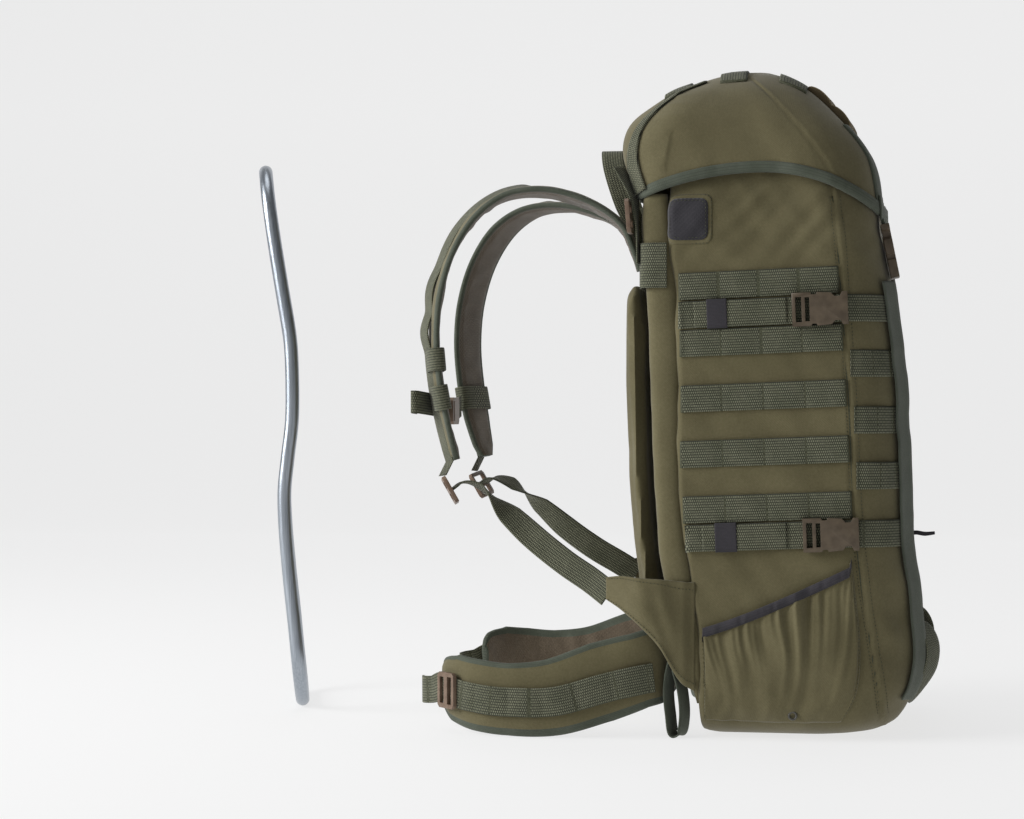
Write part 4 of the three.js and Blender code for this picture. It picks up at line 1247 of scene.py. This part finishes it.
def pocket_spot(across, up, side, out=0.0):
    """A point of the pocket. across runs from its back seam to its front one, up from foot to top."""
    top = pocket_top(across)
    z = pocket_base + (top - pocket_base) * up
    along = side * (4.85 + 1.27 * across)
    ends = min(1, 14 * min(across, 1 - across))
    swell = pocket_swell * math.sin(math.pi * across) ** 0.6 * math.sin(math.pi * (0.08 + 0.72 * up))
    lean = (across - 0.5) * (1 - up) * 0.35
    bunch = across + lean + 0.03 * ripple(across * 5, up * 2, side)
    fan = ripple(bunch * 15, up * 0.9, 7 * side) * 6.4 * up ** 1.2
    fine = ripple(bunch * 38, up * 1.5, 3 * side) * 3.4 * up ** 3
    slack = ripple(across * 7 + side, up * 2.6, 4) * 2.6 * math.sin(math.pi * min(up * 1.1, 1))
    foot = ripple(across * 16, up * 5 + side, 9) * 1.2 * bump_at(up - 0.12, 0.3)
    drain = -1.2 * bump_at(math.hypot((across - eyelet_across) * 137, (up - eyelet_up) * 120), 12)
    held = 1 - 0.8 * bump_at(up - 1, 0.09)
    lift = max(0.4, swell + (fan * held + fine * held + slack + foot + drain) * ends)
    return skin(z, along, lift + out)


def pocket_place(side):
    def place(u, v):
        return pocket_spot(u, v, side), (u * 150, v * 120)
    return place


def band_place(side):
    def place(u, v):
        angle = v * 2 * math.pi
        spot = pocket_spot(u, 1.0, side, 1.6 + 1.7 * math.cos(angle))
        return spot + Vector((0, 0, -2.6 + 4.6 * math.sin(angle))), (u * 170, v * 20)
    return place


eyelet_brass = moulded_plastic("eyelet_metal", (0.06, 0.058, 0.05), (0.11, 0.105, 0.09), 0.35)
for side, side_name in both_sides:
    pocket = woven_grid(f"pocket_{side_name}", pocket_columns, pocket_rows, pocket_place(side), olive_cloth)
    shelled(pocket, pocket_wall)
    belongs(pocket, "olive_cloth", f"side_pocket_{side_name}")
    band = woven_grid(f"pocket_band_{side_name}", 180, 12, band_place(side), elastic)
    closed_up(band, sewn_within, True)
    belongs(band, "dark_tape")
    for across in (0.04, 0.965):
        line = [(pocket_spot(across, up / 30, side, 0.2), Vector((0, -side, 0))) for up in range(1, 29)]
        stitches(f"pocket_seam_{side_name}_{round(across * 100)}", line)
    eyelet_at = pocket_spot(eyelet_across, eyelet_up, side, 0.9)
    bpy.ops.object.select_all(action="DESELECT")
    bpy.ops.mesh.primitive_torus_add(
        major_radius=3.4 * mm, minor_radius=1.1 * mm, major_segments=28, minor_segments=10)
    eyelet = bpy.context.object
    eyelet.name = f"eyelet_{side_name}"
    eyelet.data.transform(Matrix.Translation(eyelet_at * mm) @ Matrix.Rotation(math.pi / 2, 4, "X"))
    bpy.ops.object.shade_smooth()
    eyelet.data.materials.append(eyelet_brass)
    belongs(eyelet, "dark_tape")

# Shoulder pads: foam arcs from the yoke over the shoulder, olive cloth outside, brown spacer cloth
# against the body, and both edges bound in tape.
pad_reach = 330
pad_rise = 522
pad_offset = 84
pad_width = 62
pad_thick = 9
pad_splay = math.radians(15)
pad_binding_share = 0.80
pad_table = [
    (0.3885, 0.846, 0.80, 0.90), (0.409, 0.882, 0.82, 1.00), (0.445, 0.926, 0.86, 1.00),
    (0.520, 0.962, 0.92, 1.00), (0.620, 0.986, 0.96, 1.00), (0.705, 0.992, 1.00, 1.00),
    (0.795, 0.982, 1.02, 1.00), (0.878, 0.946, 1.05, 1.00), (0.945, 0.882, 1.08, 1.00),
    (0.984, 0.804, 1.10, 1.00), (0.996, 0.724, 1.10, 1.00), (0.986, 0.640, 1.10, 1.00),
    (0.966, 0.570, 1.08, 0.92), (0.945, 0.516, 1.06, 0.70), (0.935, 0.494, 1.05, 0.42),
]
brown_lining = woven_cloth(
    "brown_lining", (0.070, 0.052, 0.032), (0.108, 0.082, 0.054), (0.165, 0.130, 0.090),
    weave_pitch=0.0019, sheen=0.3, bump=0.7)
pad_corners = 36
pad_steps = 190


def pad_keys(side):
    keys = []
    for i, (reach, height, out, share) in enumerate(pad_table):
        turn = min(i / 7, 1)
        keys.append(((-reach * pad_reach, -side * out * pad_offset, height * pad_rise),
                     (-math.sin(pad_splay) * turn, side * math.cos(pad_splay), 0), share * pad_width))
    return keys


# The pad's section: t is +1 on the side against the wearer.
pad_angles = [2 * math.pi * k / pad_corners for k in range(pad_corners)]
pad_profile = [(squarish(math.cos(angle), 0.55), squarish(math.sin(angle), 0.8)) for angle in pad_angles]


def pad_paint(side):
    """Binding on both edges, lining on the inner face and olive cloth on the outer one."""
    def paint(u, v):
        w, t = pad_profile[int(u * pad_corners) % pad_corners]
        if abs(w) > pad_binding_share:
            return 1
        return 2 if t * side > 0 else 0
    return paint


def pad_lift(side):
    """Soft quilting: a groove inside each bound edge, creases across the lining and a dent or two."""
    def lift(station, w, t):
        groove = -0.9 * bump_at(abs(w) - 0.80, 0.10)
        spot = station["length"]
        crease = ripple(spot / 13, w * 1.1 + 4 * side, 3) * 1.6 * bump_at(w, 1.0)
        broad = ripple(spot / 45, w * 0.8, 6 * side) * 1.2
        wave = crease * (1.5 if t * side > 0 else 0.5) + broad * 0.6
        return math.copysign(1, t) * (groove + wave * (1 - abs(w) ** 3))
    return lift


pad_paths = {}
for side, side_name in both_sides:
    pad_paths[side] = route(pad_keys(side), pad_steps)
    pad = swept(
        f"shoulder_cushion_{side_name}", pad_paths[side], pad_thick, olive_cloth, f"shoulder_pad_{side_name}",
        slot="lining_cloth", profile=pad_profile, lift=pad_lift(side), extra=[binding, brown_lining],
        paint=pad_paint(side))

# Shoulder webbing: sewn along the outer face of each pad and standing off it in two loose bights,
# then down to the slider below the tip. Brown sliders hold the lower straps.
slider_x, slider_y, slider_z = -318, 90, 243
pad_web_start = 66
pad_web_out = pad_thick / 2 + 1.4
pad_web_turn = math.radians(12)
# Where the webbing is sunk or stands off, as shares of its length: the middle, the reach, the rise.
pad_web_bights = [(0.0, 0.05, -3.0), (0.47, 0.08, 3.2), (0.60, 0.07, 4.2), (0.3, 0.08, 0.8)]
slider_brown = moulded_plastic("slider_brown", (0.130, 0.085, 0.058), (0.200, 0.140, 0.100))
for side, side_name in both_sides:
    path = []
    for station in pad_paths[side][pad_web_start:]:
        at = station["at"] - station["thick"] * side * pad_web_out
        turned = station["wide"] * math.cos(pad_web_turn) - station["thick"] * math.sin(pad_web_turn)
        thick = station["thick"] * math.cos(pad_web_turn) + station["wide"] * math.sin(pad_web_turn)
        path.append({**station, "at": at, "wide": turned, "thick": thick * -side, "width": web_width})
    start_length, end_length = path[0]["length"], path[-1]["length"]
    slider_at = Vector((slider_x - 3, -side * slider_y, slider_z - 0.9))
    path.append({**path[-1], "at": slider_at, "length": end_length + 10})

    def bights(station, w, t, start=start_length, end=end_length):
        share = (station["length"] - start) / (end - start)
        return sum(rise * bump_at(share - middle, reach) for middle, reach, rise in pad_web_bights)

    swept(f"pad_webbing_{side_name}", path, web_thick, webbing, f"shoulder_webbing_{side_name}", lift=bights)
    moulded(f"shoulder_slider_{side_name}", f"pad_slider_{side_name}", slider_brown, 0.7)

# Lower straps: webbing from each slider down to the tip of its wing, turning on edge on the way.
splay_wide = (-math.sin(pad_splay), math.cos(pad_splay), 0)
lower_keys = [
    ((-311.3, -89.4, 229.3), splay_wide), ((-302, -87.4, 234.8), splay_wide),
    ((-280, -92, 229), (-0.2, 0.9, -0.3)), ((-252, -103, 205), (0.2, 0.6, 0.7)),
    ((-227, -109, 183), (0.5, 0.2, 0.8)), ((-196, -116, 160), (0.55, 0, 0.8)),
    ((-172, -123.5, 145), (0.55, 0, 0.83)), ((-153.4, -133.6, 132.5), (0.55, 0, 0.83)),
]
for side, side_name in both_sides:
    keys = [((x, side * y, z), (wx, side * wy, wz)) for (x, y, z), (wx, wy, wz) in lower_keys]
    swept(f"lower_webbing_{side_name}", route(keys, 110), web_thick, webbing, f"lower_strap_{side_name}",
          lift=lambda station, w, t: 0.5 * math.sin(station["length"] / 17))

# Wings: doubled cloth triangles sewn into the side seams, edges turned in and stitched. Each holds
# the lower strap at its tip.
wing_length = 92
wing_top = 151
wing_thick = 2.4
wing_side = bag_width / 2 + 0.35 + wing_thick / 2
wing_seam = -71
wing_reach = 0.92
wing_sunk = 3.4
wing_table = [
    (0.00, 0.29, 0.965, 1.000), (0.16, 0.36, 0.972, 1.003), (0.35, 0.56, 0.985, 1.032),
    (0.55, 0.69, 0.992, 1.032), (0.76, 0.79, 0.998, 0.960), (0.92, 0.845, 0.985, 0.894),
]


def wing_spot(along, across, side, out):
    low, high, place = read_smooth(wing_table, along * wing_reach)
    z = wing_top * (low + (high - low) * across)
    x = wing_seam - along * wing_reach * wing_length
    dish = 2.2 * math.sin(math.pi * across) * math.sin(math.pi * min(along * 1.1, 1))
    fold = ripple(along * 4 + side, across * 2.2 - along * 3, 2) * 3.4 * math.sin(math.pi * along)
    edge = 0.7 * (bump_at(across - 0.05, 0.05) + bump_at(across - 0.95, 0.05))
    sewn = wing_sunk * bump_at(along, 0.14)
    return Vector((x, -side * (place * wing_side + dish + fold * 0.7 + edge + out - sewn), z))


def wing_place(side):
    def place(u, v):
        angle = v * 2 * math.pi
        across = 0.5 - 0.5 * math.cos(angle)
        depth = wing_thick / 2 * squarish(math.sin(angle), 0.5)
        return wing_spot(u, across, side, depth), (u * 90, v * 180)
    return place


for side, side_name in both_sides:
    wing = woven_grid(f"wing_cloth_{side_name}", 60, 48, wing_place(side), olive_cloth, wrap=True, ends=True)
    belongs(wing, "olive_cloth", f"wing_{side_name}")
    for across in (0.07, 0.93):
        places = [wing_spot(k / 40, across, side, wing_thick / 2 + 0.2) for k in range(40)]
        line = [(at, Vector((0, -side, 0))) for at in places]
        stitches(f"wing_stitches_{side_name}_{round(across * 100)}", line)

# Chest strap: a webbing ring round each pad, a strip between them through a small buckle, and the
# spare end folded back on the near side.
chest_rise = 307
chest_x = -317
chest_width = 22
ring_tall = 24
ring_out = pad_thick / 2 + 3.0
ring_turns = 40
ring_layers = 24
pad_front_part = 95


def pad_ring(side, middle_z, tall, out, name, *nodes):
    """A band of webbing round a shoulder pad at a height, close to the pad's own section."""
    station = min(pad_paths[side][pad_front_part:], key=lambda one: abs(one["at"].z - middle_z))
    ahead = station["thick"].cross(station["wide"]).normalized()
    if ahead.z < 0:
        ahead = -ahead

    def place(u, v):
        angle = u * 2 * math.pi
        across = squarish(math.cos(angle), 0.5) * (station["width"] / 2 + 1.6)
        deep = squarish(math.sin(angle), 0.7) * out
        layer = 2 * math.pi * v
        rise = tall / 2 * squarish(math.cos(layer), 0.35)
        grow = 0.8 * squarish(math.sin(layer), 0.35)
        outward = station["wide"] * (across / 32) + station["thick"] * (deep / out)
        spot = station["at"] + station["wide"] * across + station["thick"] * deep
        return spot + outward.normalized() * grow + ahead * rise, (u * 150, rise)

    ring = woven_grid(name, ring_turns, ring_layers, place, webbing, wrap=True)
    closed_up(ring, sewn_within)
    belongs(ring, "webbing", *nodes)


for side, side_name in both_sides:
    ring_z = chest_rise + 10
    pad_ring(side, ring_z, ring_tall, ring_out, f"chest_ring_{side_name}", f"strap_keeper_{side_name}")
pad_ring(1, 353, chest_width, ring_out + 0.6, "pad_ring_left")
chest_end = pad_offset * 1.09 - pad_width / 2 * math.cos(pad_splay) - 3.6
chest_place = chest_x - 5 - pad_width / 2 * math.sin(pad_splay)


def chest_path(places, steps):
    """Stations of the chest strap through places given from its middle line."""
    return route([((chest_place + x, y, chest_rise + z), upright, chest_width) for x, y, z in places], steps)


chest_points = [(0, -chest_end, 3), (2, 0, -3), (0, chest_end, 3)]
swept("chest_webbing", chest_path(chest_points, 60), web_thick, webbing, "chest_strap")
moulded("chest_buckle", "chest_clip", slider_brown, 0.8)
chest_tail_steps = [(-4, 6, 4), (-9, 40, 6), (-14, 50, 7), (-18, 50, 7), (-16, 34, 6)]
chest_tail_points = [(x, -chest_end - further, z) for x, further, z in chest_tail_steps]
swept("chest_tail", chest_path(chest_tail_points, 50), tail_thick, webbing)

# Haul loop: an arch of webbing over the back for lifting the bag, its legs sewn behind the yoke.
haul_half = 26
haul_width = 22
haul_thick = 2.0
haul_leg = [
    ((yoke_back - 2.2, -haul_half, yoke_height + 4), (0, 1, 0)), ((-134, -haul_half, 478), (0.5, 0.7, 0)),
    ((-149, -haul_half - 2, 512), (1, 0.1, 0)), ((-160, -haul_half + 2, 546), (1, 0, 0)),
    ((-163, -haul_half / 2, 562), (1, 0, 0)),
]
haul_other_leg = [((x, -y, z), (wx, -wy, wz)) for (x, y, z), (wx, wy, wz) in reversed(haul_leg)]
haul_keys = [(at, wide, haul_width) for at, wide in haul_leg + haul_other_leg]
swept("haul_webbing", route(haul_keys, 120), haul_thick, webbing, "haul_loop")

# Lid straps: webbing from each back corner of the lid through a brown slider down to the yoke.
lid_strap_x = yoke_back - 2.4
lid_strap_y = -138
lid_strap_width = 20
# Each point's distance back and inward, its height, and how far the strap is turned there.
lid_strap_points = [(0, 0, yoke_height + 2, 0), (1, 0, 478, 0), (4.4, 3, 505, 0.3), (18.6, 7, 535, 0.5)]
for side, side_name in both_sides:
    keys = [((lid_strap_x - back, side * (lid_strap_y + inward), z), (turn * side, 1, 0), lid_strap_width)
            for back, inward, z, turn in lid_strap_points]
    swept(f"lid_back_strap_{side_name}", route(keys, 50), web_thick, webbing, f"lid_strap_{side_name}")
    moulded(f"lid_slider_{side_name}", f"lid_back_slider_{side_name}", slider_brown, 0.7)

# Lid corner straps: the lid straps run on up the back corners of the lid and narrow to a piping.
corner_steps = 60
for side, side_name in both_sides:
    path = []
    for k in range(corner_steps + 1):
        share = 0.03 + 0.87 * k / corner_steps
        along = side * (3.9 + 0.3 * k / corner_steps)
        at, normal = hood_skin(share, along, 1.4), hood_normal(share, along)
        ahead = (hood(share + 0.01, along) - hood(share, along)).normalized()
        length = path[-1]["length"] + (at - path[-1]["at"]).length if path else 0.0
        width = 5 + 13 * bump_at(share, 0.75)
        wide = normal.cross(ahead)
        path.append({"at": at, "wide": wide, "thick": normal, "width": width, "length": length})
    swept(f"lid_corner_strap_{side_name}", path, 2.0, webbing)

# Hip belt: one long foam pad behind the back cushion, wrapped forward to a rounded tip on each side.
# It is olive outside, brown spacer cloth inside, with bound edges.
belt_height = 70
belt_thick = 12
belt_half = 158
belt_reach = 214
belt_back = -0.529 * bag_depth + 12 + belt_thick / 2 + 1.05
belt_table = [
    (0.000, 0.000, 0.45, 1.50), (0.000, 0.500, 0.45, 1.50), (0.005, 0.740, 0.45, 1.50),
    (0.030, 0.850, 0.43, 1.48), (0.110, 0.925, 0.38, 1.40), (0.270, 0.965, 0.20, 1.28),
    (0.480, 1.000, 0.02, 1.05), (0.680, 1.000, 0.01, 0.98), (0.830, 0.950, 0.05, 1.02),
    (0.930, 0.850, 0.13, 1.06), (0.985, 0.750, 0.30, 1.00), (1.000, 0.700, 0.45, 0.82),
]
belt_half_keys = [
    ((belt_back - forward * belt_reach, -out * belt_half, (low + high) / 2 * belt_height),
     upright, (high - low) * belt_height)
    for forward, out, low, high in belt_table
]
belt_other_keys = [((x, -y, z), wide, width) for (x, y, z), wide, width in reversed(belt_half_keys[1:])]
belt_keys = belt_other_keys + belt_half_keys
belt_steps = 330
belt_path = route(belt_keys, belt_steps)


def belt_paint(u, v):
    w, t = pad_profile[int(u * pad_corners) % pad_corners]
    if abs(w) > 0.86 or min(v, 1 - v) < 0.012:
        return 1
    return 2 if t > 0 else 0


def belt_lift(station, w, t):
    groove = -1.0 * bump_at(abs(w) - 0.84, 0.09)
    spot = station["length"]
    crease = ripple(spot / 15, w * 1.5 + spot / 60, 3) * (2.4 if t > 0 else 0.7)
    broad = ripple(spot / 50, w, 8) * 1.3
    return math.copysign(1, t) * (groove + (crease + broad) * (1 - abs(w) ** 3))


def belt_shape(station, w, t):
    ends = min(station["length"], belt_path[-1]["length"] - station["length"])
    round_off = min(1.0, 0.35 + 0.65 * math.sqrt(min(ends / 14, 1)))
    return station["width"] / 2 * (0.75 + 0.25 * round_off), belt_thick / 2 * round_off


belt = swept("hip_cushion", belt_path, belt_thick, olive_cloth, "hip_belt", slot="olive_cloth",
             profile=pad_profile, lift=belt_lift, extra=[binding, brown_lining], paint=belt_paint,
             shape=belt_shape)

# Belt webbing: stitched in cells along the outer face of each side, through the brown slider at the
# tip and back in a short tail.
belt_web_out = belt_thick / 2 + 2.4
belt_web_first, belt_web_last = 218, -22
belt_cell = 33
belt_tail_steps = [(-17.2, 22.7, -2), (-27.2, 32.7, -3.5), (-30.2, 41.7, -4)]
belt_slider_at = Vector((belt_back - belt_reach + 7.2, -belt_half + 15.3, 40))
for side, side_name in both_sides:
    keys = []
    for i, station in enumerate(belt_path[belt_web_first:belt_web_last:6]):
        at = station["at"] - station["thick"] * belt_web_out
        fall = 7 * max(0, 1 - i / 8) + 1.5
        keys.append(((at.x, side * at.y, at.z - fall), upright, 27))
    for step in belt_tail_steps:
        at = belt_slider_at + Vector(step)
        keys.append(((at.x, side * at.y, at.z), upright, 26))
    path = route(keys, 170)
    flip = -1 if (path[60]["thick"].y > 0) == (side > 0) else 1
    for station in path:
        station["thick"] = station["thick"] * flip
    swept(f"belt_strip_{side_name}", path, web_thick, webbing, f"belt_webbing_{side_name}",
          **cells(path, belt_cell, 1.3, first=8))
    moulded(f"belt_slider_{side_name}", f"belt_clip_{side_name}", slider_brown, 0.8)

# Base loops: cloth tape sewn into each back corner of the base and hanging in a loop.
base_loop_points = [
    (-87, 83.5), (-93, 68), (-96.3, 46), (-94.6, 22), (-91, 3), (-85, 3), (-81.5, 18), (-83, 42), (-88.5, 64),
]
base_loop_y = -139
base_loop_width = 19
for side, side_name in both_sides:
    keys = [((x, side * base_loop_y, z), (0.42 * side, 0.9, 0), base_loop_width) for x, z in base_loop_points]
    swept(f"base_tape_{side_name}", route(keys, 90), web_thick, binding, f"base_loop_{side_name}")
